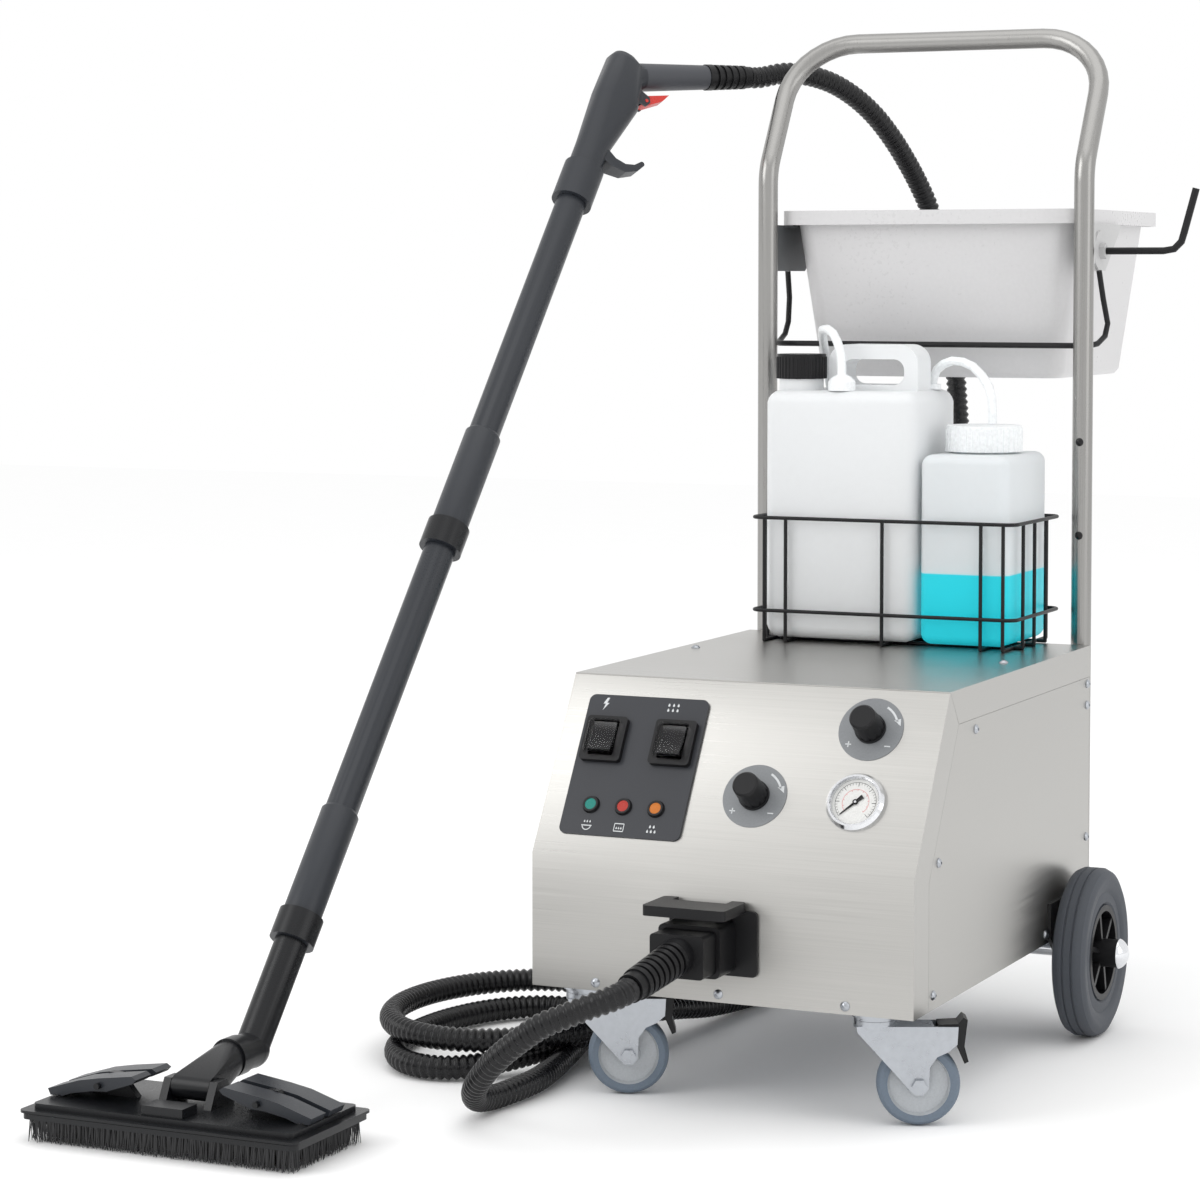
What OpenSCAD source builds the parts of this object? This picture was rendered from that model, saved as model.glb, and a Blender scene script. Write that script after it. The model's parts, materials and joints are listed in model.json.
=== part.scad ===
/* [Body] */
// Outer width of the sheet-steel body
body_w = 400; // [340:1:480]
// Depth of the body from the front panel to the rear panel
body_d = 566; // [500:1:680]
// Height of the body's lower edge above the floor
body_z0 = 108; // [106:1:125]
// Height of the bend in the front panel
bend_z = 241; // [225:1:260]
// Height of the top cover above the floor
body_z1 = 409; // [385:1:460]
// How far the sloping front leans back from the bend to the top
slope_y = 102; // [70:1:130]
// Thickness of the body sheet
sheet_t = 1.5; // [1:0.1:2.5]
// Width of the front panel's side returns
return_w = 42; // [30:1:60]
// Depth of the top cover's side flanges
flange_h = 34; // [24:1:40]
// Length of the edge folded inwards along the foot of the front panel
foot_flange = 14; // [10:1:20]

/* [Control panel] */
// Width of the control panel
panel_w = 130; // [115:1:140]
// Height of the control panel, measured up the slope
panel_h = 151; // [140:1:160]
// Thickness of the control panel
panel_t = 3; // [2:0.5:5]
// Place of the panel's middle across the body
panel_x = -111; // [-116:1:-95]
// Place of the panel's middle up the slope
panel_s = 97; // [92:1:102]
// Distance between the two rocker switches
switch_pitch = 75; // [68:1:78]
// Distance between two pilot lamps
lamp_pitch = 35; // [28:1:40]
// Diameter of a control knob
knob_d = 31; // [24:1:40]
// Diameter of a printed dial ring round a knob
dial_d = 66; // [50:1:72]
// Diameter of the pressure gauge's bezel
gauge_d = 59; // [50:1:64]

/* [Steam socket and hose] */
// Width of the steam socket on the front panel
socket_w = 78; // [70:1:90]
// Outer diameter of the steam hose
hose_d = 25; // [20:0.5:26]

/* [Wheels] */
// Diameter of a rear wheel
wheel_d = 179; // [160:1:190]
// Width of a rear wheel's tyre
wheel_w = 36; // [30:1:44]
// Diameter of the rear axle
axle_d = 16; // [12:1:20]
// Diameter of a castor wheel
castor_d = 80; // [70:1:84]
// Width of a castor wheel
castor_w = 24; // [20:1:28]
// Distance from a castor's swivel axis to its wheel's axle
castor_trail = 42; // [34:1:44]
// Angle that the castors are turned to, from the body's width
castor_yaw = 24; // [0:1:45]

/* [Handle and bucket] */
// Outer diameter of the handle tube
tube_d = 22; // [18:1:25]
// Height of the middle of the handle's top bar
handle_z = 1075; // [1000:1:1200]
// Angle that the top of the handle leans back from upright
handle_lean = 31; // [20:1:40]
// Distance between the middles of the handle's two uprights
handle_w = 370; // [340:1:400]
// Width of the bucket's rim
bucket_w = 352; // [300:1:356]
// Depth of the bucket's rim, front to back
bucket_l = 318; // [260:1:360]
// Height of the bucket from its floor to its rim
bucket_h = 187; // [150:1:220]
// Wall thickness of the bucket
bucket_wall = 3; // [2:0.5:4]

/* [Basket and containers] */
// Width of the wire basket
basket_w = 302; // [280:1:320]
// Depth of the wire basket
basket_l = 160; // [150:1:200]
// Height of the wire basket
basket_h = 139; // [110:1:170]
// Diameter of the basket wire
wire_d = 4; // [3:0.5:5]
// Width of the water can
can_w = 176; // [160:1:180]
// Height of the water can to its shoulder
can_h = 272; // [240:1:290]
// Width of the detergent bottle
bottle_w = 100; // [85:1:106]
// Height of the detergent bottle to its shoulder
bottle_h = 205; // [170:1:230]
// Depth of both containers
can_l = 142; // [120:1:144]

/* [Wand] */
// Outer diameter of a lance tube
lance_d = 33.5; // [30:0.5:36]
// Length of one extension tube with its collar
ext_len = 458; // [400:1:500]
// Angle that the lance leans back from upright
lance_tilt = 36.7; // [25:0.1:42]
// Length of the brush head
brush_w = 296; // [260:1:340]
// Width of the brush head, front to back
brush_l = 140; // [120:1:160]
// Height of the bristles
bristle_h = 20; // [14:1:26]

/* [Hidden] */
round_fn = 64;
gap = 0.3;                        // clearance between pieces that lie side by side
run_gap = 0.05;                   // radial clearance of a shaft in its bore

// Body
body_x = body_w / 2;
slope_h = body_z1 - bend_z;
slope_a = atan2(slope_h, slope_y);      // angle of the sloping front above level
tray_z = body_z0 + sheet_t;
tray_t = 2;
side_x = body_x - sheet_t;              // inner face of the side panels
mitre_y = 25;                           // how far the top cover's flange is mitred back

// Handle
tube_r = tube_d / 2;
handle_x = handle_w / 2;
standoff = 3.5;
handle_y = body_d + tube_r + standoff;
handle_z0 = body_z0 + 42;
kink_r = 60;
kink_drop = 146;
corner_r = 75;
lean_dy = kink_r * (1 - cos(handle_lean));
lean_dz = kink_r * sin(handle_lean);
kink_z = handle_z - kink_drop - kink_r * tan(handle_lean / 2);
lean_len = (handle_z - kink_z - lean_dz) / cos(handle_lean);

// Bucket
bucket_y0 = handle_y + tube_r + 1.5;
rim_h = 16;
rim_z = handle_z - 191;
bucket_z0 = rim_z - bucket_h;
rim_lip = 12;
bucket_taper = 20;
bracket_t = 2.5;
bracket_x = max(bucket_w / 2 + 2, handle_x - tube_r + 2);
bracket_z0 = rim_z - 68;
hook_y = bucket_y0 + 58;
hook_z = rim_z - 46;
hook_reach = 276;
hook_end = hook_reach + 14;

// Rear wheels
wheel_r = wheel_d / 2;
axle_r = axle_d / 2;
wheel_y = body_d - 80;
wheel_x0 = body_x + 9;
hub_r = 50;
boss_r = 15;
axle_end_x = wheel_x0 + wheel_w + 14;
bracket_plate_t = 4;

// Castors
castor_r = castor_d / 2;
castor_x = body_x - 48;
castor_y = 24;
fork_gap = castor_w / 2 + 2;
fork_t = 2.5;
stem_r = 20;
stem_pin_r = 5;
fork_z = body_z0 - 11;            // top of the fork's plate
bolt_r = 4;
pedal_pin = [castor_trail + 24, fork_z - 2];
pedal_pin_r = 2;

// Basket and containers
basket_x = basket_w / 2;
basket_y0 = body_d - 116;
wire_r = wire_d / 2;
weld = wire_d - 0.6;              // how far a crossing wire stands off the ring it is welded to
basket_z0 = body_z1 + wire_r;
can_z0 = basket_z0 + wire_r + gap;
can_y0 = basket_y0 + weld + wire_r + 4;
can_x0 = -basket_x + weld + wire_r + 4;
bottle_x0 = can_x0 + can_w + 5;
can_wall = 2.5;
can_top = can_z0 + can_h;
bottle_top = can_z0 + bottle_h;
can_cap_spot = [can_x0 + 29, can_y0 + 42];
bottle_cap_spot = [bottle_x0 + bottle_w / 2, can_y0 + can_l / 2];
neck_r = 22;
can_neck_h = 26;
bottle_neck_r = 34;
bottle_neck_h = 16;
can_grip_h = 50;
can_grip_w = 42;

// Wand, in its own frame: origin on the floor under the middle of the brush
wand_x = -402;
wand_y = -308;
elbow_y = 103;
elbow_z = 66;
lance_swivel = 3.5;
lance_r = lance_d / 2;
sleeve_r = lance_r + 2.8;
collar_r = lance_r + 6;
collar_len = 30;
sleeve_len = 114;
lower_z0 = 20;
lower_z1 = 115;
gun_z0 = lower_z1 + 2 * ext_len;  // along the lance, from the elbow
gun_roll = 42;
grip_rise = 33;
gun_neck_len = 47;
gun_top = 205;
grip_r = 16;
grip_start = 18;
grip_len = 98;
cuff_len = 58;
base_z = bristle_h + 2;           // underside of the brush's base
base_t = 14;
plate_z = base_z + base_t;        // top of the brush's base
tilt_pin = [2, plate_z + 15];     // the brush's tilt pin, along and up
tilt_pin_r = 4;
lever_x = 86;
lever_pin_z = plate_z + 15;
lever_pin_r = 3;
lever_w = 27;
post_w = 8;

// The lance's own axes, and where its grip ends
elbow = [wand_x, wand_y + elbow_y, elbow_z];
lance_u = [sin(lance_swivel) * cos(lance_tilt), sin(lance_tilt), cos(lance_swivel) * cos(lance_tilt)];
lance_side = [cos(lance_swivel), 0, -sin(lance_swivel)];
grip_dir = cos(grip_rise) * (sin(gun_roll) * lance_side + cos(gun_roll) * cross(lance_u, lance_side))
    + sin(grip_rise) * lance_u;
grip_z = gun_top - gun_neck_len - 26;
grip_foot = elbow + (gun_z0 + gun_neck_len + gap + grip_z) * lance_u;
cuff_tip = grip_foot + (grip_start + grip_len + gap + cuff_len) * grip_dir;

// The plug's boot points down and to the left of straight out
socket_x = -12;
socket_z = 165;
plug_out = 74;
boot_down = 10.5;
boot_left = 7;
boot_len = 86;
boot_dir = [-sin(boot_left) * cos(boot_down), -cos(boot_left) * cos(boot_down), -sin(boot_down)];
boot_tip = [socket_x, -plug_out, socket_z] + boot_len * boot_dir;

// Steam hose: from the boot to the floor, two turns beside the body, then under it, up behind the
// bucket and over to the cuff on the gun
hose_r = hose_d / 2;
hose_start = [
    [-32, -183, 143], [-48, -196, 137], [-66, -203, 129], [-90, -207, 118], [-116, -204, 100], [-144, -194, 78],
    [-170, -174, 54], [-190, -148, 34], [-202, -118, 19], [-203, -86, 13], [-197, -50, 13],
    [-195, 0, 13], [-203, 55, 13], [-215, 110, 13], [-228, 165, 13]
];
hose_end = [
    [-186, 235, 36], [-177, 300, 28], [-166, 370, 18], [-156, 450, 13], [-148, 530, 13], [-141, 610, 13],
    [-134, 690, 13], [-125, 770, 13], [-113, 845, 14], [-97, 905, 26], [-84, 944, 60], [-76, 962, 115],
    [-73, 969, 190], [-73, 971, 275], [-75, 971, 360], [-78, 969, 445], [-82, 966, 530], [-86, 963, 615],
    [-91, 958, 700], [-97, 952, 775], [-105, 943, 840], [-114, 927, 890], [-121, 905, 922],
    [-128, 877, 951], [-136, 849, 977], [-146, 819, 1001], [-159, 788, 1021], [-175, 757, 1036],
    [-193, 727, 1044], [-213, 701, 1046]
];
coil_step = 24;
function coil_rise(a) = let (t = max(0, min(1, (a - 290) / 110))) t * t * (3 - 2 * t);
hose_coil = [for (a = [25:coil_step:725]) let (w = coil_rise(a))
    [-320 + 10 * w + (86 + 34 * w) * cos(a), 160 + 20 * w + 155 * sin(a), hose_r + 0.5 + (hose_d + 0.5) * w]];
hose_route = concat([boot_tip + gap * boot_dir, boot_tip + 12 * boot_dir], hose_start, hose_coil, hose_end,
    [cuff_tip + 18 * grip_dir, cuff_tip + gap * grip_dir]);

// The frame's origin is under the middle of everything except the hose
all_x0 = wand_x - brush_w / 2 - 2;
all_x1 = hook_end + 4;
all_y0 = wand_y - brush_l / 2 - 2;
all_y1 = bucket_y0 + bucket_l;
origin = [(all_x0 + all_x1) / 2, (all_y0 + all_y1) / 2, 0];

// ---------- shared shapes ----------
module placed() { translate(-origin) children(); }

// A flat plate facing sideways, from x to x + t, its outline given as depth and height
module side_plate(x, t, points) { translate([x, 0, 0]) rotate([90, 0, 90]) linear_extrude(t) polygon(points); }

// Stands a shape on the sloping front, u across from the middle and s up the slope
module on_slope(u, s, lift = 0) {
    translate([u, 0, bend_z]) rotate([slope_a, 0, 0]) translate([0, s, lift]) children();
}

function rounded(w, h, r, n = 7) = [for (q = [0:3], k = [0:n]) let (a = 90 * (q + k / n), m = q * 90 + 45)
    [sign(cos(m)) * (w / 2 - r) + r * cos(a), sign(sin(m)) * (h / 2 - r) + r * sin(a)]];
module rounded_plate(w, h, r, t) { linear_extrude(t) polygon(rounded(w, h, r)); }

// A box with every edge rounded, standing on z = 0 and centred across
module soft_box(w, l, h, r) {
    hull() for (z = [r, h - r], i = [-1, 1], j = [-1, 1])
        translate([i * (w / 2 - r), j * (l / 2 - r), z]) sphere(r, $fn = 20);
}

// A round bar from a to b
module bar(a, b, r, fn = 24) {
    d = b - a;
    translate(a) rotate([0, acos(d[2] / norm(d)), atan2(d[1], d[0])]) cylinder(r = r, h = norm(d), $fn = fn);
}

// A round bar through several points, with a ball at each bend
module bent_bar(points, r, fn = 24) {
    for (i = [0:len(points) - 2]) bar(points[i], points[i + 1], r, fn);
    for (i = [1:len(points) - 2]) translate(points[i]) sphere(r, $fn = fn);
}

function unit(v) = v / norm(v);
function tangent(p, i) = unit(p[min(i + 1, len(p) - 1)] - p[max(i - 1, 0)]);
function side_of(u, t) = unit(u - (u * t) * t);
function sides(p, i = 0, u = [0.1, 0.2, 1]) = i == len(p) ? []
    : let (w = side_of(u, tangent(p, i))) concat([w], sides(p, i + 1, w));
function ring(c, t, u, r, n) = [for (k = [0:n - 1])
    c + r * (cos(360 * k / n) * u + sin(360 * k / n) * cross(t, u))];

// A tube swept along a smooth route, with flat ends
module swept(p, r, n = 10) {
    u = sides(p);
    verts = [for (i = [0:len(p) - 1]) each ring(p[i], tangent(p, i), u[i], r, n)];
    last = (len(p) - 1) * n;
    walls = [for (i = [0:len(p) - 2], k = [0:n - 1])
        [i * n + k, (i + 1) * n + k, (i + 1) * n + (k + 1) % n, i * n + (k + 1) % n]];
    polyhedron(verts, concat(walls, [[for (k = [0:n - 1]) k]], [[for (k = [n - 1:-1:0]) last + k]]),
        convexity = 10);
}

// Points between a route's own points, on a smooth curve through them
function between(a, b, c, d, t) = 0.5 * (2 * b + (c - a) * t + (2 * a - 5 * b + 4 * c - d) * t * t
    + (3 * b - a - 3 * c + d) * t * t * t);
function smooth(p, n) = [for (i = [0:len(p) - 2], k = [0:n - 1])
    between(p[max(i - 1, 0)], p[i], p[i + 1], p[min(i + 2, len(p) - 1)], k / n), p[len(p) - 1]];

// ---------- body ----------
module front_panel() color("silver") union() {
    lean = sheet_t / sin(slope_a);
    top = body_z1 - sheet_t;
    side_plate(-body_x, body_w, [
        [0, body_z0], [foot_flange, body_z0], [foot_flange, tray_z], [sheet_t, tray_z],
        [sheet_t, bend_z - (lean - sheet_t) * tan(slope_a)],
        [slope_y - sheet_t / tan(slope_a) + lean, top], [slope_y - sheet_t / tan(slope_a), top], [0, bend_z]]);
    for (x = [-body_x, side_x]) side_plate(x, sheet_t, [
        [0, body_z0], [return_w, body_z0], [return_w, bend_z - 9],
        [slope_y + mitre_y, body_z1 - flange_h - gap], [slope_y + 1, top], [slope_y - 1, top], [0, bend_z]]);
}

module top_cover() color("silver") union() {
    translate([-body_x, slope_y, body_z1 - sheet_t]) cube([body_w, body_d - slope_y, sheet_t]);
    for (x = [-body_x, side_x]) side_plate(x, sheet_t, [
        [slope_y + 1 + gap, body_z1 - sheet_t], [slope_y + mitre_y + gap, body_z1 - flange_h],
        [body_d, body_z1 - flange_h], [body_d, body_z1 - sheet_t]]);
    translate([-body_x, body_d - sheet_t, body_z1 - flange_h]) cube([body_w, sheet_t, flange_h]);
}

module side_panel(x) color("silver") side_plate(x, sheet_t, [
    [return_w + gap, body_z0], [body_d - sheet_t - gap, body_z0],
    [body_d - sheet_t - gap, body_z1 - flange_h - gap], [slope_y + mitre_y + gap, body_z1 - flange_h - gap],
    [return_w + gap, bend_z - 9]]);
module side_panel_left() { side_panel(-body_x); }
module side_panel_right() { side_panel(side_x); }

louvre_h = 5;
louvre_pitch = 14;
module rear_panel() color("silver") difference() {
    translate([-body_x, body_d - sheet_t, body_z0])
        cube([body_w, sheet_t, body_z1 - flange_h - gap - body_z0]);
    for (i = [0:5]) translate([-60, body_d - 3, body_z0 + 90 + i * louvre_pitch]) cube([120, 6, louvre_h]);
}

module base_tray() color("gray") difference() {
    translate([-side_x + gap, sheet_t + gap, tray_z])
        cube([body_w - 2 * sheet_t - 2 * gap, body_d - 2 * sheet_t - 2 * gap, tray_t]);
    for (x = [-120, -60, 0, 60, 120]) translate([x - 18, 250, tray_z - 1]) cube([36, 8, tray_t + 2]);
}

// Black plates on the side panels that carry the axle
module axle_brackets() color("black") difference() {
    for (x = [-body_x - bracket_plate_t, body_x]) side_plate(x, bracket_plate_t, [
        [wheel_y - 68, body_z0 + 42], [wheel_y - 68, body_z0 + 4], [wheel_y - 18, wheel_r - 18],
        [wheel_y + 18, wheel_r - 18], [wheel_y + 60, body_z0 + 4], [wheel_y + 60, body_z0 + 42]]);
    translate([-body_w, wheel_y, wheel_r]) rotate([0, 90, 0])
        cylinder(r = axle_r + run_gap, h = 2 * body_w, $fn = round_fn);
}

// A low domed head with a hexagon socket, its flat side on z = 0
screw_r = 4.8;
module screw_head() difference() {
    intersection() {
        translate([0, 0, -2.2]) sphere(5.6, $fn = 40);
        cylinder(r = screw_r, h = 4, $fn = 40);
    }
    translate([0, 0, 2]) cylinder(r = 1.6, h = 4, $fn = 6);
}

module cover_screws() color("gainsboro") {
    for (x = [-131, 0, 131]) translate([x, 0, body_z0 + 8]) rotate([90, 0, 0]) screw_head();
    for (x = [-body_x + 20, body_x - 32]) translate([x, body_d - 203, body_z1]) screw_head();
    rear = body_d - 10;
    top = body_z1 - flange_h - 7;
    for (sx = [-1, 1], p = [[rear, top], [rear - 1, top - 23], [rear - 1, body_z0 + 93],
            [rear - 144, body_z0 + 10], [return_w + 13, body_z0 + 14], [return_w + 27, bend_z + 7],
            [slope_y + 76, top - 4]])
        translate([sx * body_x, p[0], p[1]]) rotate([0, sx * 90, 0]) screw_head();
}

// ---------- controls ----------
switch_s = 26;
switch_w = 44;
switch_l = 48;
rocker_w = 24;
rocker_l = 34;
rocker_lift = 6;
rocker_pin_r = 1.5;
rocker_throw = 12;
frame_t = 6;
lamp_s = -44;
knob_spots = [[22, 75], [127, 152.5]];
gauge_spot = [127, 75];
dial_t = 0.8;
knob_h = 30;
spindle_r = 3;

module control_panel() color("darkslategray") on_slope(panel_x, panel_s) difference() {
    rounded_plate(panel_w, panel_h, 7, panel_t);
    for (i = [-1, 1]) translate([i * switch_pitch / 2, switch_s, -1])
        rounded_plate(rocker_w + 4, rocker_l + 4, 1, panel_t + 2);
    for (i = [-1:1]) translate([i * lamp_pitch - 1, lamp_s, -1]) cylinder(r = 6, h = panel_t + 2, $fn = 48);
}

module at_switch(i, lift) { on_slope(panel_x + i * switch_pitch / 2, panel_s + switch_s, lift) children(); }

module switch_frames() color("black") for (i = [-1, 1]) at_switch(i, panel_t) union() {
    difference() {
        rounded_plate(switch_w, switch_l, 4, frame_t);
        translate([0, 0, -1]) rounded_plate(rocker_w + 2, rocker_l + 2, 1, frame_t + 2);
    }
    translate([0, 0, rocker_lift - panel_t]) rotate([0, 90, 0]) translate([0, 0, -rocker_w / 2 - 2])
        cylinder(r = rocker_pin_r, h = rocker_w + 4, $fn = 32);
}

// A rocker on a pin under its middle, tipped to its off side at rest
module rocker(i) color("black") at_switch(i, rocker_lift) rotate([-rocker_throw / 2, 0, 0]) difference() {
    end = rocker_l / 2 - 1;
    translate([-rocker_w / 2, 0, 0]) rotate([90, 0, 90]) linear_extrude(rocker_w)
        polygon([[-5, -4], [5, -4], [end, 2.5], [end - 0.6, 6.4], [0, 4.2], [0.6 - end, 6.4], [-end, 2.5]]);
    translate([-rocker_w, 0, 0]) rotate([0, 90, 0])
        cylinder(r = rocker_pin_r + run_gap, h = 2 * rocker_w, $fn = 32);
}
module power_rocker() { rocker(-1); }
module steam_rocker() { rocker(1); }

module pilot_lamps() for (i = [-1:1]) on_slope(panel_x + i * lamp_pitch - 1, panel_s + lamp_s, panel_t) {
    color("black") difference() {
        cylinder(r1 = 9.2, r2 = 8, h = 3.2, $fn = 48);
        translate([0, 0, -1]) cylinder(r = 6, h = 6, $fn = 48);
    }
    color("orange") translate([0, 0, -panel_t]) cylinder(r = 5.9, h = panel_t + 2.6, $fn = 48);
}

// Printed rings on the sloping front, each with the spindle that its knob turns on
module knob_dials() color("gray") for (p = knob_spots) on_slope(p[0], p[1]) union() {
    cylinder(r = dial_d / 2, h = dial_t, $fn = 96);
    cylinder(r = spindle_r, h = knob_h - 8, $fn = 32);
}

module knob(p) color("black") on_slope(p[0], p[1], dial_t + gap) difference() {
    union() {
        cylinder(r = knob_d / 2, h = 4, $fn = 64);
        translate([0, 0, 4]) cylinder(r1 = knob_d / 2 - 0.8, r2 = knob_d / 2 - 2.4, h = knob_h - 6, $fn = 64);
        translate([0, 0, knob_h - 2]) cylinder(r1 = knob_d / 2 - 2.4, r2 = knob_d / 2 - 4.2, h = 2, $fn = 64);
    }
    for (k = [0:11]) rotate([0, 0, k * 30 + 15]) translate([knob_d / 2 + 0.8, 0, 5])
        cylinder(r = 2.4, h = knob_h, $fn = 20);
    translate([0, 0, -1]) cylinder(r = spindle_r + run_gap, h = knob_h - 7, $fn = 32);
}
module steam_knob() { knob(knob_spots[0]); }
module detergent_knob() { knob(knob_spots[1]); }

gauge_r = gauge_d / 2;
gauge_ledge = 5.5;
module gauge_case() color("whitesmoke") on_slope(gauge_spot[0], gauge_spot[1])
    rotate_extrude($fn = 96) polygon([[0, 0], [gauge_r, 0], [gauge_r, 4], [gauge_r - 2.5, 7.5],
        [gauge_r - 4.5, 7.5], [gauge_r - 4.5, gauge_ledge], [gauge_r - 5.7, gauge_ledge], [gauge_r - 5.7, 2],
        [1.2, 2], [1.2, 4], [0, 4]]);
module gauge_needle() color("black") on_slope(gauge_spot[0], gauge_spot[1], 2.5) rotate([0, 0, 225])
    difference() {
        union() {
            linear_extrude(0.8) polygon([[0, -1.2], [19, -0.3], [19, 0.3], [0, 1.2], [-9, 2.2], [-9, -2.2]]);
            cylinder(r = 2.6, h = 1.6, $fn = 32);
        }
        translate([0, 0, -1]) cylinder(r = 1.2 + run_gap, h = 4, $fn = 96);
    }
module gauge_glass() color("white", 0.3) on_slope(gauge_spot[0], gauge_spot[1], gauge_ledge)
    cylinder(r = gauge_r - 4.6, h = 1.4, $fn = 96);

// ---------- steam socket and plug ----------
socket_h = 50;
socket_out = 44;
plug_gap = 0.2;
flap_w = 86;
flap_l = 56;
flap_z = 199;
flap_pin = [-8, flap_z + 5];
flap_pin_r = 2.2;
boot_r = 18;

module facing_front(x, y, z) { translate([x, y, z]) rotate([90, 0, 0]) children(); }

module steam_socket() color("dimgray") difference() {
    union() {
        facing_front(socket_x + 8, 0, socket_z + 3) rounded_plate(socket_w + 14, socket_h + 14, 5, 4);
        facing_front(socket_x, -3, socket_z) rounded_plate(socket_w - 14, socket_h, 6, socket_out - 3);
        for (s = [-1, 1]) translate([socket_x + s * 20 - 5, -14, socket_z + 20]) cube([10, 14, flap_z - socket_z - 16]);
        bar([socket_x - 41.5, flap_pin[0], flap_pin[1]], [socket_x + 41.5, flap_pin[0], flap_pin[1]], flap_pin_r);
    }
    facing_front(socket_x, 1, socket_z) rounded_plate(socket_w - 22, socket_h - 8, 4, socket_out + 4);
}

// The hinged lid, held up by the plug
module socket_flap() color("dimgray") difference() {
    translate([socket_x, -flap_l / 2 - 4, flap_z]) rounded_plate(flap_w, flap_l, 5, 10);
    translate([socket_x, -flap_l / 2 - 4, flap_z - 3]) rounded_plate(flap_w - 8, flap_l - 8, 3, 10);
    translate([socket_x - 28, -19, flap_z - 1]) cube([56, 16, 12]);
    bar([socket_x - 60, flap_pin[0], flap_pin[1]], [socket_x + 60, flap_pin[0], flap_pin[1]], flap_pin_r + run_gap);
}

module at_boot() {
    translate([socket_x, -plug_out, socket_z]) rotate([90 + boot_down, 0, -boot_left]) children();
}
module hose_plug() color("black") union() {
    facing_front(socket_x, -8, socket_z)
        rounded_plate(socket_w - 22 - 2 * plug_gap, socket_h - 8 - 2 * plug_gap, 4, plug_out - 8);
    at_boot() translate([0, 0, -6]) {
        cylinder(r = boot_r, h = 12, $fn = round_fn);
        cylinder(r = boot_r - 4, h = boot_len + 6, $fn = round_fn);
        for (k = [1:8]) translate([0, 0, 3 + k * 9])
            cylinder(r1 = boot_r - k * 0.25, r2 = boot_r - 0.4 - k * 0.25, h = 5.5, $fn = round_fn);
    }
}

module steam_hose() color("black") swept(hose_route, hose_r, 10);

module cable_gland() color("black") translate([150, body_d, body_z0 + 42]) rotate([-90, 0, 0]) difference() {
    union() {
        cylinder(r = 15, h = 4, $fn = 6);
        cylinder(r = 11, h = 22, $fn = 48);
        translate([0, 0, 8]) cylinder(r = 13, h = 8, $fn = 6);
    }
    translate([0, 0, 3]) cylinder(r = 5, h = 30, $fn = 48);
}

// ---------- castors ----------
module castor_at(s) { translate([s * castor_x, castor_y, 0]) rotate([0, 0, castor_yaw]) children(); }

module castor_plates() color("silver") for (s = [-1, 1]) castor_at(s) union() {
    translate([0, 0, body_z0 - 1]) cylinder(r = 9, h = sheet_t + 1, $fn = 48);
    translate([0, 0, body_z0 - 2.6]) cylinder(r = stem_r + 3, h = 2.6, $fn = 64);
    translate([0, 0, body_z0 - 6]) cylinder(r = stem_r, h = 4, $fn = 64);
    translate([0, 0, fork_z - 6]) cylinder(r = stem_pin_r, h = 9, $fn = 48);
}

// A side arm of the fork: forward edge, axle end, then the stop that the brake pedal works on
module fork_arm() {
    t = castor_trail;
    polygon([[-18, fork_z], [-17, fork_z - 6], [t - 9, castor_r - 4], [t - 4, castor_r - 9],
        [t + 4, castor_r - 9], [t + 9, castor_r - 3], [t + 10, castor_r + 18], [t + 17, castor_r + 28],
        [t + 28, castor_r + 33], [t + 36, castor_r + 40], [t + 37, fork_z]]);
}
module across(y, x, z, r, h) { translate([x, y, z]) rotate([90, 0, 0]) cylinder(r = r, h = h, $fn = 40); }
module castor_fork(s) color("silver") castor_at(s) difference() {
    wide = 2 * (fork_gap + fork_t);
    union() {
        translate([0, 0, fork_z - fork_t]) cylinder(r = stem_r, h = body_z0 - 6 - gap - fork_z + fork_t, $fn = 64);
        translate([0, -wide / 2, fork_z - fork_t]) cube([castor_trail + 14, wide, fork_t]);
        for (y = [-fork_gap, fork_gap + fork_t]) translate([0, y, 0]) rotate([90, 0, 0])
            linear_extrude(fork_t) fork_arm();
        across(wide / 2 + 3, castor_trail, castor_r, bolt_r, wide + 6);
        for (y = [wide / 2 + 5, -wide / 2]) translate([castor_trail, y, castor_r]) rotate([90, 0, 0])
            cylinder(r = 7.5, h = 5, $fn = 6);
        across(wide / 2, pedal_pin[0], pedal_pin[1], pedal_pin_r, wide);
    }
    translate([0, 0, fork_z - 9]) cylinder(r = stem_pin_r + run_gap, h = 20, $fn = 48);
}
module castor_fork_left() { castor_fork(-1); }
module castor_fork_right() { castor_fork(1); }

module castor_wheel(s) color("lightsteelblue") castor_at(s) translate([castor_trail, 0, castor_r])
    rotate([90, 0, 0]) rotate_extrude($fn = 96) wheel_section();
module wheel_section() {
    h = castor_w / 2;
    rim = castor_r - 12;
    polygon([[bolt_r + run_gap, -h], [11, -h], [12, -5], [rim, -5], [rim + 2, 2 - h], [castor_r - 4, 1 - h],
        [castor_r - 1.2, 3.5 - h], [castor_r, -4], [castor_r, 4], [castor_r - 1.2, h - 3.5],
        [castor_r - 4, h - 1], [rim + 2, h - 2], [rim, 5], [12, 5], [11, h], [bolt_r + run_gap, h]]);
}
module castor_wheel_left() { castor_wheel(-1); }
module castor_wheel_right() { castor_wheel(1); }

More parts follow.
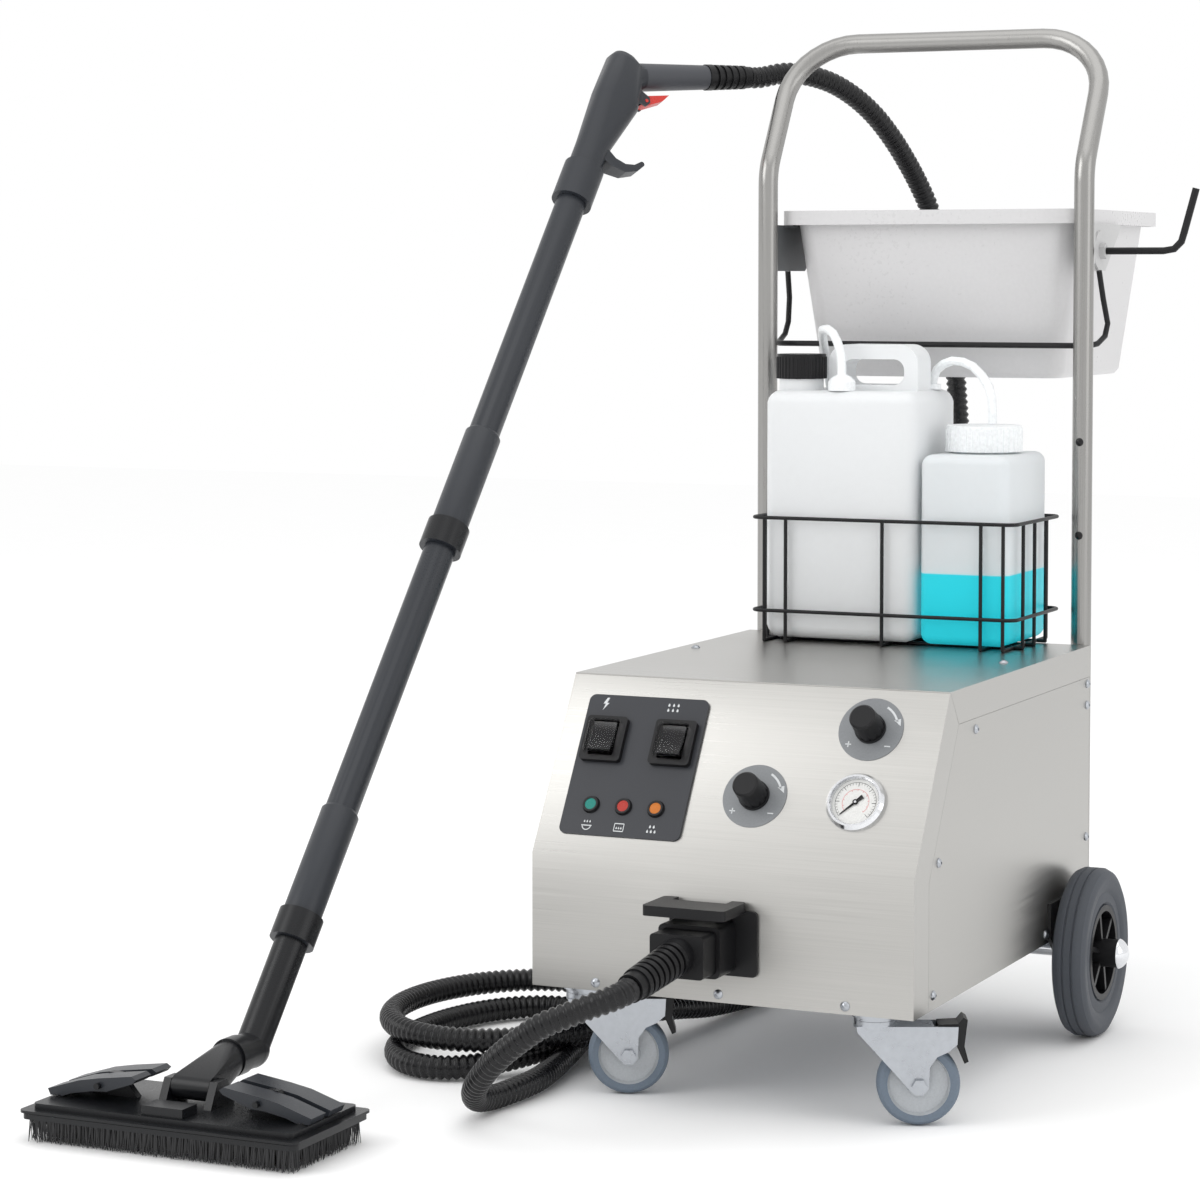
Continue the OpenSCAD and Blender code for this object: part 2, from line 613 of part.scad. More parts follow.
// The brake pedal turns on a pin between the fork's arms
module brake_pedal(s) color("black") castor_at(s) difference() {
    x = pedal_pin[0];
    z = fork_z;
    translate([0, fork_gap - 0.7, 0]) rotate([90, 0, 0]) linear_extrude(2 * fork_gap - 1.4)
        polygon([[x - 6, z - 6], [x - 6, z + 1.5], [x + 13, z + 2.5], [x + 18, z + 8.5], [x + 22, z + 6],
            [x + 21, z - 2], [x + 19, z - 19], [x + 23, z - 34], [x + 19, z - 36], [x + 12, z - 20],
            [x + 7, z - 8]]);
    across(40, x, pedal_pin[1], pedal_pin_r + run_gap, 80);
}
module brake_pedal_left() { brake_pedal(-1); }
module brake_pedal_right() { brake_pedal(1); }

// ---------- rear wheels ----------
module rear_axle() color("lightgray") translate([0, wheel_y, wheel_r]) union() {
    translate([-axle_end_x, 0, 0]) rotate([0, 90, 0]) cylinder(r = axle_r, h = 2 * axle_end_x, $fn = round_fn);
    for (s = [-1, 1]) translate([s * axle_end_x, 0, 0]) rotate([0, s * 90, 0]) intersection() {
        translate([0, 0, -8]) sphere(18, $fn = 64);
        cylinder(r = 16, h = 12, $fn = 64);
    }
}

module tyre_section() {
    r = wheel_r;
    w = wheel_w;
    polygon([[hub_r, 6], [hub_r + 4, 3], [hub_r + 14, 4], [hub_r + 18, 1.5], [r - 9, 0], [r - 3, 3], [r, 9],
        [r, 12], [r - 1.5, 12.8], [r - 1.5, 13.8], [r, 14.6], [r, w - 14.6], [r - 1.5, w - 13.8],
        [r - 1.5, w - 12.8], [r, w - 12], [r, w - 9], [r - 3, w - 3], [r - 9, w], [hub_r + 18, w - 1.5],
        [hub_r + 14, w - 4], [hub_r + 4, w - 3], [hub_r, w - 6]]);
}
module rear_wheel(s) color("dimgray") translate([0, wheel_y, wheel_r]) rotate([0, s * 90, 0])
    translate([0, 0, wheel_x0]) difference() {
        union() {
            rotate_extrude($fn = 120) tyre_section();
            difference() {
                translate([0, 0, 3]) cylinder(r = hub_r + 0.5, h = wheel_w - 6, $fn = 96);
                for (z = [-1, wheel_w / 2 + 3]) translate([0, 0, z])
                    cylinder(r = hub_r - 6, h = wheel_w / 2 - 2, $fn = 96);
            }
            cylinder(r = boss_r, h = wheel_w + 13.4, $fn = 64);
            for (k = [0:5]) rotate([0, 0, k * 60 + 15]) translate([boss_r - 3, -2.5, 4])
                cube([hub_r - boss_r, 5, wheel_w - 8]);
        }
        for (k = [0:5]) rotate([0, 0, k * 60 + 45]) translate([0, 0, -1]) linear_extrude(wheel_w)
            polygon([[19, -6], [40, -15], [42, 0], [40, 15], [19, 6]]);
        translate([0, 0, -1]) cylinder(r = axle_r + run_gap, h = wheel_w + 20, $fn = round_fn);
    }
module rear_wheel_left() { rear_wheel(-1); }
module rear_wheel_right() { rear_wheel(1); }

// ---------- handle ----------
function leaned(u, v) = [u, handle_y + lean_dy + v * sin(handle_lean), kink_z + lean_dz + v * cos(handle_lean)];
function kink(s) = [for (k = [0:6]) let (a = handle_lean * k / 6)
    [s * handle_x, handle_y + kink_r * (1 - cos(a)), kink_z + kink_r * sin(a)]];
function corner(s) = [for (k = [0:9]) let (a = 10 * k)
    leaned(s * (handle_x - corner_r + corner_r * cos(a)), lean_len - corner_r + corner_r * sin(a))];
function half_handle(s) = concat([[s * handle_x, handle_y, handle_z0]], kink(s), corner(s));
function turned(p) = [for (i = [len(p) - 1:-1:0]) p[i]];

module handle_frame() color("lightgray") union() {
    swept(concat(half_handle(-1), turned(half_handle(1))), tube_r, 28);
    for (s = [-1, 1], z = [handle_z0 + 40, body_z1 - flange_h - 25])
        bar([s * handle_x, body_d, z], [s * handle_x, handle_y - 3, z], 7, 32);
}

// ---------- bucket ----------
module bucket_layer(inset, z, t, r) {
    translate([0, bucket_y0 + bucket_l / 2, z]) rounded_plate(bucket_w - 2 * inset, bucket_l - 2 * inset, r, t);
}
module bucket_shape(inset, r, z_low, z_high) hull() {
    bucket_layer(rim_lip + inset, z_high - 1, 1, r);
    bucket_layer(rim_lip + inset + bucket_taper, z_low + 6, 1, r);
    bucket_layer(rim_lip + inset + bucket_taper + 5, z_low, 1, r - 4);
}
module bucket() color("lightgray") difference() {
    union() {
        bucket_shape(0, 24, bucket_z0, rim_z - rim_h + 2);
        bucket_layer(0, rim_z - rim_h, rim_h, 16);
    }
    bucket_shape(bucket_wall, 21, bucket_z0 + bucket_wall, rim_z - rim_h + 1);
    bucket_layer(rim_lip + bucket_wall, rim_z - rim_h - 1, rim_h + 2, 21);
    difference() {
        bucket_layer(3, rim_z - rim_h - 1, rim_h - 2, 14);
        bucket_layer(rim_lip - 3, rim_z - rim_h - 2, rim_h, 24);
    }
}

// Side plates bolted to the handle, each with a flange that the bucket's rim rests on
module bucket_brackets() color("gainsboro") for (s = [-1, 1]) union() {
    y0 = handle_y + tube_r;
    z1 = rim_z - rim_h;
    side_plate(s > 0 ? bracket_x : -bracket_x - bracket_t, bracket_t, [[y0, bracket_z0], [y0 + 86, bracket_z0],
        [y0 + 144, z1 - 5], [y0 + 144, z1], [y0, z1]]);
    translate([s > 0 ? bracket_x - 12 : -bracket_x - 0.5, y0 + 18, z1 - bracket_t]) cube([12.5, 126, bracket_t]);
    translate([s * (bracket_x + bracket_t), hook_y, hook_z]) rotate([0, s * 90, 0]) {
        translate([0, 0, -0.5]) cylinder(r = s > 0 ? 22 : 9, h = 3, $fn = 48);
        if (s > 0) cylinder(r = 9, h = 9, $fn = 6);
    }
    difference() {
        translate([s > 0 ? bracket_x : -bracket_x - 14, y0 - 5, bracket_z0 + 8]) cube([14, 14, 36]);
        translate([s * handle_x, handle_y, bracket_z0]) cylinder(r = tube_r + run_gap, h = 60, $fn = round_fn);
    }
}
bail_x = bracket_x + bracket_t;
bail_route = [[1, 640, 816], [1.01, 650, 786], [1.03, 656, 758], [1.03, 646, 744], [1.02, 624, 736],
    [0.99, 609, 734], [0.95, 604, 734], [0.8, 604, 734]];
module bracket_rods() color("black") {
    bail = [for (p = bail_route) [p[0] * (bail_x + 4), p[1] + bucket_y0 - 593, p[2] + rim_z - 884]];
    swept(concat(bail, turned([for (p = bail) [-p[0], p[1], p[2]]])), 3.2, 10);
    hook = [[bail_x + 9, hook_y, hook_z], [hook_reach - 22, hook_y, hook_z], [hook_reach - 10, hook_y, hook_z + 2],
        [hook_reach - 2, hook_y, hook_z + 10], [hook_reach + 1, hook_y, hook_z + 20], [hook_end, hook_y, hook_z + 68]];
    swept(hook, 4, 12);
}

// ---------- basket ----------
ring_r = 12;
module basket_ring(z) {
    w = basket_x;
    for (y = [basket_y0, basket_y0 + basket_l]) bar([-w + ring_r, y, z], [w - ring_r, y, z], wire_r, 16);
    for (x = [-w, w]) bar([x, basket_y0 + ring_r, z], [x, basket_y0 + basket_l - ring_r, z], wire_r, 16);
    for (i = [-1, 1], j = [-1, 1])
        translate([i * (w - ring_r), basket_y0 + basket_l / 2 + j * (basket_l / 2 - ring_r), z])
            rotate([0, 0, i > 0 ? (j > 0 ? 0 : -90) : (j > 0 ? 90 : 180)])
                rotate_extrude(angle = 90, $fn = 48) translate([ring_r, 0]) circle(wire_r, $fn = 16);
}
module wire_basket() color("black") union() {
    top = basket_z0 + basket_h - wire_d;
    for (z = [top, basket_z0 + 33]) basket_ring(z);
    y0 = basket_y0 + weld;
    y1 = basket_y0 + basket_l - weld;
    for (x = [-basket_x + 14, -basket_x + 39, 0, basket_x - 39, basket_x - 14])
        bent_bar([[x, y0, top], [x, y0, basket_z0], [x, y1, basket_z0], [x, y1, top]], wire_r, 16);
    x1 = basket_x - weld;
    for (y = [basket_y0 + 40, basket_y0 + basket_l / 2, basket_y0 + basket_l - 40])
        bent_bar([[-x1, y, top], [-x1, y, basket_z0], [x1, y, basket_z0], [x1, y, top]], wire_r, 16);
}

// ---------- containers ----------
module can_shape(inset) translate([can_x0 + can_w / 2, can_y0 + can_l / 2, can_z0 + inset])
    soft_box(can_w - 2 * inset, can_l - 2 * inset, can_h - 2 * inset, 16 - inset);
module can_neck(spot, z, r, h) { translate([spot[0], spot[1], z - 16]) cylinder(r = r, h = h + 16, $fn = 48); }

// The jerry can, with a grip across its top
module water_can() color("white", 0.8) difference() {
    union() {
        can_shape(0);
        can_neck(can_cap_spot, can_top, neck_r + can_wall, can_neck_h - 14);
        can_neck(can_cap_spot, can_top, neck_r, can_neck_h);
        translate([can_x0 + 62, can_y0 + can_l / 2 + can_grip_w / 2, can_top - 22]) rotate([90, 0, 0])
            linear_extrude(can_grip_w) difference() {
                translate([48, 36]) polygon(rounded(104, can_grip_h + 22, 20));
                translate([48, 42]) polygon(rounded(72, 28, 12));
            }
    }
    can_shape(can_wall);
    translate([can_cap_spot[0], can_cap_spot[1], can_top - 30])
        cylinder(r = neck_r - can_wall, h = 80, $fn = 48);
}
module cap(spot, z, r, h, bore) translate([spot[0], spot[1], z]) difference() {
    union() {
        cylinder(r = r - 1, h = h, $fn = 72);
        for (k = [0:35]) rotate([0, 0, k * 10]) translate([r - 1.2, 0, 0]) cylinder(r = 1.2, h = h - 3, $fn = 12);
    }
    translate([0, 0, -1]) cylinder(r = bore, h = h - 3, $fn = 72);
}
module water_can_cap() color("black")
    cap(can_cap_spot, can_top + can_neck_h - 14 + gap, 28, 27, neck_r + run_gap);

module bottle_shape(inset) translate([bottle_x0 + bottle_w / 2, can_y0 + can_l / 2, can_z0 + inset])
    soft_box(bottle_w - 2 * inset, can_l - 2 * inset, bottle_h - 2 * inset, 12 - inset);
module detergent_bottle() color("white", 0.8) difference() {
    union() {
        bottle_shape(0);
        can_neck(bottle_cap_spot, bottle_top, bottle_neck_r, bottle_neck_h);
    }
    bottle_shape(can_wall);
    translate([bottle_cap_spot[0], bottle_cap_spot[1], bottle_top - 30])
        cylinder(r = bottle_neck_r - can_wall, h = 80, $fn = 48);
}
module bottle_cap() color("white")
    cap(bottle_cap_spot, bottle_top + 2, 42, 28, bottle_neck_r + run_gap);

// Clear feed tubes with the fittings at their ends
feed_spot = [can_x0 + 84, can_y0 + 22];
feed_tube_r = 5;
module suction_tubes() color("white") {
    z = can_top;
    x = feed_spot[0];
    y = feed_spot[1];
    translate([x, y, z]) intersection() {
        cylinder(r = 15, h = 18, $fn = 48);
        sphere(18, $fn = 48);
    }
    swept(smooth([[x, y, z + 12], [x - 3, y + 4, z + 40], [x - 14, y + 10, z + 62], [x - 34, y + 30, z + 66],
        [x - 42, y + 56, z + 44], [x - 44, y + 74, z + 14], [x - 44, y + 80, z + 1]], 2), feed_tube_r, 10);
    g = [can_x0 + can_w - 16, can_y0 + can_l / 2 + 34, can_top];
    b = [bottle_cap_spot[0] + 6, bottle_cap_spot[1] + 10, bottle_top + 31];
    color("black") translate(g) cylinder(r = 9, h = 6, $fn = 32);
    swept(smooth([g + [0, 0, 7], g + [6, -4, 22], g + [26, -10, 32], (g + b) / 2 + [12, 0, 44],
        b + [-4, 0, 40], b + [0, 0, 18], b], 2), feed_tube_r, 10);
}

// ---------- inside the body ----------
boiler_spot = [-60, body_d - 170];
module boiler() color("lightgray") translate([boiler_spot[0], boiler_spot[1], tray_z + tray_t]) union() {
    translate([0, 0, 18]) cylinder(r = 95, h = 200, $fn = 96);
    translate([0, 0, 218]) intersection() {
        translate([0, 0, -180]) sphere(204, $fn = 64);
        cylinder(r = 95, h = 40, $fn = 96);
    }
    for (k = [0:2]) rotate([0, 0, k * 120 + 30]) translate([70, 0, 0]) cylinder(r = 8, h = 20, $fn = 32);
    translate([0, 0, 238]) cylinder(r = 12, h = 20, $fn = 6);
}
module pump() color("dimgray") translate([110, body_d - 270, tray_z + tray_t]) union() {
    translate([-35, -45, 0]) cube([70, 90, 12]);
    translate([0, 40, 42]) rotate([90, 0, 0]) cylinder(r = 30, h = 80, $fn = 64);
    translate([-16, -40, 10]) cube([32, 80, 20]);
    translate([0, 62, 42]) rotate([90, 0, 0]) cylinder(r = 14, h = 24, $fn = 48);
}
module solenoid_valve() color("goldenrod") translate([20, 120, tray_z + tray_t]) union() {
    translate([-20, -20, 0]) cube([40, 40, 8]);
    cylinder(r = 10, h = 50, $fn = 32);
    translate([-18, -18, 44]) cube([36, 36, 24]);
    translate([0, 0, 60]) cylinder(r = 14, h = 48, $fn = 48);
}

// ---------- wand ----------
module on_wand() { translate([wand_x, wand_y, 0]) children(); }
module on_lance(z) {
    translate(elbow) rotate([0, lance_swivel, 0]) rotate([-lance_tilt, 0, 0]) translate([0, 0, z]) children();
}
module on_gun() { on_lance(gun_z0 + gun_neck_len + gap) rotate([0, 0, -gun_roll]) children(); }
module on_grip(z) { on_gun() translate([0, 0, grip_z]) rotate([-(90 - grip_rise), 0, 0]) translate([0, 0, z]) children(); }

// An extension tube: a collar at its lower end, a thick sleeve, then the thin tube up to the next collar
module extension(z0) color("darkslategray") on_lance(z0 + gap) difference() {
    union() {
        cylinder(r = collar_r, h = collar_len, $fn = round_fn);
        cylinder(r = sleeve_r, h = collar_len + sleeve_len, $fn = round_fn);
        translate([0, 0, collar_len + sleeve_len]) cylinder(r1 = sleeve_r, r2 = lance_r, h = 4, $fn = round_fn);
        cylinder(r = lance_r, h = ext_len - gap, $fn = round_fn);
    }
    translate([0, 0, -1]) cylinder(r = lance_r - 3, h = ext_len + 2, $fn = round_fn);
}
module lance_middle() { extension(lower_z1); }
module lance_upper() { extension(lower_z1 + ext_len); }

// The bent lower tube, with the ring that turns on the brush's neck
module lance_lower() color("black") union() {
    on_lance(0) {
        translate([0, 0, 2]) cylinder(r = lance_r, h = lower_z1 - 2, $fn = round_fn);
        sphere(lance_r + 1.5, $fn = 48);
    }
    on_wand() translate([0, elbow_y, elbow_z]) rotate([90, 0, 0]) cylinder(r = lance_r + 1, h = 24, $fn = round_fn);
}

// One of the two lugs that carry the trigger's pin
module trigger_lug(s) translate([s * (trigger_half + gap + 1.6), 0, 0]) difference() {
    translate([-1.5, 0, 0]) rotate([90, 0, 90]) linear_extrude(3)
        polygon([[20, 110], [40, 112], [43, 118], [40, 124], [20, 128]]);
    translate([-3, trigger_pivot[0], trigger_pivot[1]]) rotate([0, 90, 0])
        cylinder(r = trigger_pin_r + run_gap, h = 6, $fn = 40);
}

module gun_body() color("darkslategray") union() {
    on_gun() {
        cylinder(r = 19, h = 40, $fn = round_fn);
        translate([0, 0, -gun_neck_len]) cylinder(r = collar_r, h = gun_neck_len + 1, $fn = round_fn);
        hull() {
            translate([0, 0, 30]) cylinder(r = 19, h = 4, $fn = 32);
            translate([0, 6, grip_z - 34]) rounded_plate(40, 54, 16, 4);
            translate([0, 2, grip_z + 14]) rounded_plate(38, 44, 16, 4);
            translate([0, -2, grip_z + 24]) rounded_plate(28, 28, 12, 2);
        }
    }
    for (s = [-1, 1]) on_gun() trigger_lug(s);
    hull() {
        on_gun() translate([0, 4, grip_z - 4]) sphere(19, $fn = 24);
        on_grip(grip_start + 10) cylinder(r = grip_r, h = 2, $fn = 32);
    }
    hull() for (z = [grip_start + 10, grip_start + grip_len - 2])
        on_grip(z) cylinder(r = z > 50 ? grip_r - 2 : grip_r, h = 2, $fn = 32);
    on_gun() horn();
}
// The guard that curls round under the fingers
horn_route = [[0, 12, 26], [0, 26, 22], [0, 42, 24], [0, 54, 32], [0, 60, 42]];
module horn() {
    for (i = [0:3]) hull() for (k = [i, i + 1])
        translate(horn_route[k]) rotate([0, 90, 0]) translate([0, 0, -12 + 1.4 * k]) cylinder(r = 7 - k, h = 24 - 2.8 * k, $fn = 24);
}
trigger_pivot = [38, 118];
trigger_pin_r = 2;
trigger_half = 6;
module trigger() color("red") on_gun() union() {
    translate([-trigger_half, 0, 0]) rotate([90, 0, 90]) linear_extrude(2 * trigger_half)
        polygon([[34, 124], [62, 143], [57, 131], [40, 113], [34, 111]]);
    translate([-trigger_half - 4, trigger_pivot[0], trigger_pivot[1]]) rotate([0, 90, 0])
        cylinder(r = trigger_pin_r, h = 2 * trigger_half + 8, $fn = 40);
}

module hose_cuff() color("black") on_grip(grip_start + grip_len + gap) union() {
    cylinder(r = grip_r - 1, h = 8, $fn = round_fn);
    cylinder(r = hose_r, h = cuff_len, $fn = round_fn);
    for (k = [0:4]) translate([0, 0, 12 + k * 9]) cylinder(r = grip_r - 1.4 - k * 0.25, h = 4.5, $fn = round_fn);
}

// ---------- brush ----------
module brush_base() color("black") on_wand() union() {
    translate([0, 0, base_z]) rounded_plate(brush_w, brush_l, 8, 5);
    translate([0, 0, base_z + 3]) rounded_plate(brush_w - 16, brush_l - 16, 6, base_t - 3);
    translate([0, 0, base_z + 6]) rounded_plate(brush_w + 4, brush_l + 4, 8, 2.5);
    for (s = [-1, 1]) {
        translate([s * lever_x, post_w / 2, 0]) rotate([90, 0, 0]) linear_extrude(post_w) polygon([
            [-26, plate_z - 1], [26, plate_z - 1], [6, lever_pin_z + 7], [-6, lever_pin_z + 7]]);
        bar([s * lever_x, -lever_w - 9, lever_pin_z], [s * lever_x, lever_w + 9, lever_pin_z], lever_pin_r, 32);
        side_plate(s * 25 - 4, 8, [[tilt_pin[0] - 22, plate_z - 1], [tilt_pin[0] + 22, plate_z - 1],
            [tilt_pin[0] + 9, tilt_pin[1] + 9], [tilt_pin[0] - 9, tilt_pin[1] + 9]]);
    }
    bar([-27, tilt_pin[0], tilt_pin[1]], [27, tilt_pin[0], tilt_pin[1]], tilt_pin_r, 32);
    translate([-22, -58, plate_z - 1]) cube([44, 26, 10]);
}
module bristles() color("black") on_wand() {
    rows = 5;
    cols = 20;
    translate([0, 0, bristle_h - 2]) rounded_plate(brush_w - 8, brush_l - 8, 5, base_z - bristle_h + 2);
    for (i = [0:cols - 1], j = [0:rows - 1])
        translate([(i - (cols - 1) / 2) * 14.2, (j - (rows - 1) / 2) * 30, 0]) cylinder(r = 5.5, h = bristle_h - 1, $fn = 8);
}
module brush_neck() color("black") on_wand() difference() {
    union() {
        hull() {
            bar([-20.5, tilt_pin[0], tilt_pin[1]], [20.5, tilt_pin[0], tilt_pin[1]], 12, 32);
            translate([0, elbow_y - 38, elbow_z]) rotate([90, 0, 0]) cylinder(r = 17, h = 6, $fn = 32);
        }
        translate([0, elbow_y - 24 - gap, elbow_z]) rotate([90, 0, 0]) cylinder(r = lance_r + 2.5, h = 18, $fn = round_fn);
    }
    bar([-40, tilt_pin[0], tilt_pin[1]], [40, tilt_pin[0], tilt_pin[1]], tilt_pin_r + run_gap, 32);
}

// A long lever: toothed pad outside, ridged pad inside, and the pin under its middle
module clamp_lever(s, t) color("dimgray") on_wand() difference() {
    translate([s * lever_x, t * (post_w / 2 + gap + lever_w / 2) + lever_w / 2, plate_z]) rotate([90, 0, 0])
        linear_extrude(lever_w) polygon([for (p = [[54, 1], [57, 7], [22, 18], [0, 22], [-36, 27], [-41, 24],
            [-37, 20], [-8, 10], [8, 9], [30, 5], [42, 1], [44, 2.6], [46, 1], [48, 2.6], [50, 1]])
            [s * p[0], p[1]]]);
    bar([s * lever_x, -60, lever_pin_z], [s * lever_x, 60, lever_pin_z], lever_pin_r + run_gap, 32);
}
module clamp_lever_front_left() { clamp_lever(-1, -1); }
module clamp_lever_front_right() { clamp_lever(1, -1); }
module clamp_lever_rear_left() { clamp_lever(-1, 1); }
module clamp_lever_rear_right() { clamp_lever(1, 1); }

placed() base_tray();
placed() axle_brackets();
placed() front_panel();
placed() top_cover();
placed() side_panel_left();
placed() side_panel_right();
placed() rear_panel();
placed() cover_screws();
placed() control_panel();
placed() switch_frames();
placed() power_rocker();
placed() steam_rocker();
placed() pilot_lamps();
placed() knob_dials();
placed() steam_knob();
placed() detergent_knob();
placed() gauge_case();
placed() gauge_needle();
placed() gauge_glass();
placed() steam_socket();
placed() socket_flap();
placed() hose_plug();
placed() steam_hose();
placed() cable_gland();
placed() castor_plates();
placed() castor_fork_left();
placed() castor_fork_right();
placed() castor_wheel_left();
placed() castor_wheel_right();
placed() brake_pedal_left();
placed() brake_pedal_right();
placed() rear_axle();
placed() rear_wheel_left();
placed() rear_wheel_right();
placed() handle_frame();
placed() bucket();
placed() bucket_brackets();
placed() bracket_rods();
placed() wire_basket();
placed() water_can();
placed() water_can_cap();
placed() detergent_bottle();
placed() bottle_cap();
placed() suction_tubes();
placed() boiler();
placed() pump();
placed() solenoid_valve();
placed() gun_body();
placed() trigger();
placed() hose_cuff();
placed() lance_upper();
placed() lance_middle();
placed() lance_lower();
placed() brush_neck();
placed() brush_base();
placed() bristles();
placed() clamp_lever_front_left();
placed() clamp_lever_front_right();
placed() clamp_lever_rear_left();
placed() clamp_lever_rear_right();
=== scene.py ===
import math
import random

import bmesh
import bpy
from mathutils import Matrix, Vector
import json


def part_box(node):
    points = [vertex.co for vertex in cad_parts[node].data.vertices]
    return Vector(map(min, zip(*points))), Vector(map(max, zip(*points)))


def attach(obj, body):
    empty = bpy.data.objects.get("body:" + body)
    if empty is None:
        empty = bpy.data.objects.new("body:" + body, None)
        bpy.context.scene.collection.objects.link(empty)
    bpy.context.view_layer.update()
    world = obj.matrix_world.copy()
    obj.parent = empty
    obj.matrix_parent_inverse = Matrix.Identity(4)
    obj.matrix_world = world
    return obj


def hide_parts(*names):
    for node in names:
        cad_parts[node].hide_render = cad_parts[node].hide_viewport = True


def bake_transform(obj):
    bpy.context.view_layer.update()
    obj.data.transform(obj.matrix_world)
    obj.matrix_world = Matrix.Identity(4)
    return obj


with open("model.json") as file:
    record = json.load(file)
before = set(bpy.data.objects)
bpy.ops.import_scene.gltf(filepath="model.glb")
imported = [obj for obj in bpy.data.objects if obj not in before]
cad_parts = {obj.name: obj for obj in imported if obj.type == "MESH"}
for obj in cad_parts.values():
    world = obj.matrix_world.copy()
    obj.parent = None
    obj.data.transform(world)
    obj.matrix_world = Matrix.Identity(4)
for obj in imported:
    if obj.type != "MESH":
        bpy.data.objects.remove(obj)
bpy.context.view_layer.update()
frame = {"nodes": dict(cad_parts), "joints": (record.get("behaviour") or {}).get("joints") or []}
nodes = frame["nodes"]
joints = {joint["name"]: joint for joint in frame["joints"]}

# ---------------------------------------------------------------- camera and room
# A long lens at chest height, to the right of the machine, and a pale seamless floor under it.
# Wide soft lights stand to the left and above, with a weak one on the right to open the side.
camera_data = bpy.data.cameras.new("camera")
camera_data.lens = 103
camera_data.sensor_width = 36
camera_data.shift_y = -0.109
camera_data.clip_end = 30
camera = bpy.data.objects.new("camera", camera_data)
camera.location = (1.407, -3.3, 0.811)
camera.rotation_euler = (math.radians(86.77), 0, math.radians(24.83))
bpy.context.scene.collection.objects.link(camera)
bpy.context.scene.camera = camera


def new_piece(name, mesh_maker):
    mesh = bpy.data.meshes.new(name)
    bm = bmesh.new()
    mesh_maker(bm)
    bm.to_mesh(mesh)
    bm.free()
    piece = bpy.data.objects.new(name, mesh)
    bpy.context.scene.collection.objects.link(piece)
    return piece


def soft_light(name, place, target, size, power):
    lamp = bpy.data.lights.new(name, "AREA")
    lamp.shape = "RECTANGLE"
    lamp.size, lamp.size_y = size
    lamp.energy = power
    light = bpy.data.objects.new(name, lamp)
    light.location = place
    light.rotation_euler = (Vector(target) - Vector(place)).to_track_quat("-Z", "Y").to_euler()
    bpy.context.scene.collection.objects.link(light)


middle = (0, 0, 0.5)
soft_light("key light", (-2.6, -2.8, 2.6), middle, (2.4, 2.4), 42)
soft_light("top light", (0.3, -0.2, 3.4), middle, (3.0, 3.0), 20)
soft_light("side light", (3.2, -0.6, 1.6), middle, (1.6, 2.4), 10)

world = bpy.data.worlds.new("room")
world.use_nodes = True
world.node_tree.nodes["Background"].inputs["Color"].default_value = (1, 1, 1, 1)
world.node_tree.nodes["Background"].inputs["Strength"].default_value = 1.0
bpy.context.scene.world = world
bpy.context.scene.view_settings.view_transform = "Standard"


# Every material gets a fine grain and a broad, faint unevenness, each at its own scale.
def build_grain_group():
    group = bpy.data.node_groups.new("grain and unevenness", "ShaderNodeTree")
    group.interface.new_socket("Stretch", in_out="INPUT", socket_type="NodeSocketVector")
    group.interface.new_socket("Broad", in_out="INPUT", socket_type="NodeSocketFloat")
    group.interface.new_socket("Grain", in_out="OUTPUT", socket_type="NodeSocketFloat")
    group.interface.new_socket("Unevenness", in_out="OUTPUT", socket_type="NodeSocketFloat")
    tree = group.nodes
    source, sink = tree.new("NodeGroupInput"), tree.new("NodeGroupOutput")
    place = tree.new("ShaderNodeTexCoord")
    stretch = tree.new("ShaderNodeVectorMath")
    stretch.operation = "MULTIPLY"
    fine, broad = tree.new("ShaderNodeTexNoise"), tree.new("ShaderNodeTexNoise")
    fine.inputs["Scale"].default_value = 1.0
    fine.inputs["Detail"].default_value = 3.0
    broad.inputs["Detail"].default_value = 2.0
    group.links.new(place.outputs["Object"], stretch.inputs[0])
    group.links.new(source.outputs["Stretch"], stretch.inputs[1])
    group.links.new(stretch.outputs["Vector"], fine.inputs["Vector"])
    group.links.new(place.outputs["Object"], broad.inputs["Vector"])
    group.links.new(source.outputs["Broad"], broad.inputs["Scale"])
    group.links.new(fine.outputs["Fac"], sink.inputs["Grain"])
    group.links.new(broad.outputs["Fac"], sink.inputs["Unevenness"])
    return group


grain_group = build_grain_group()


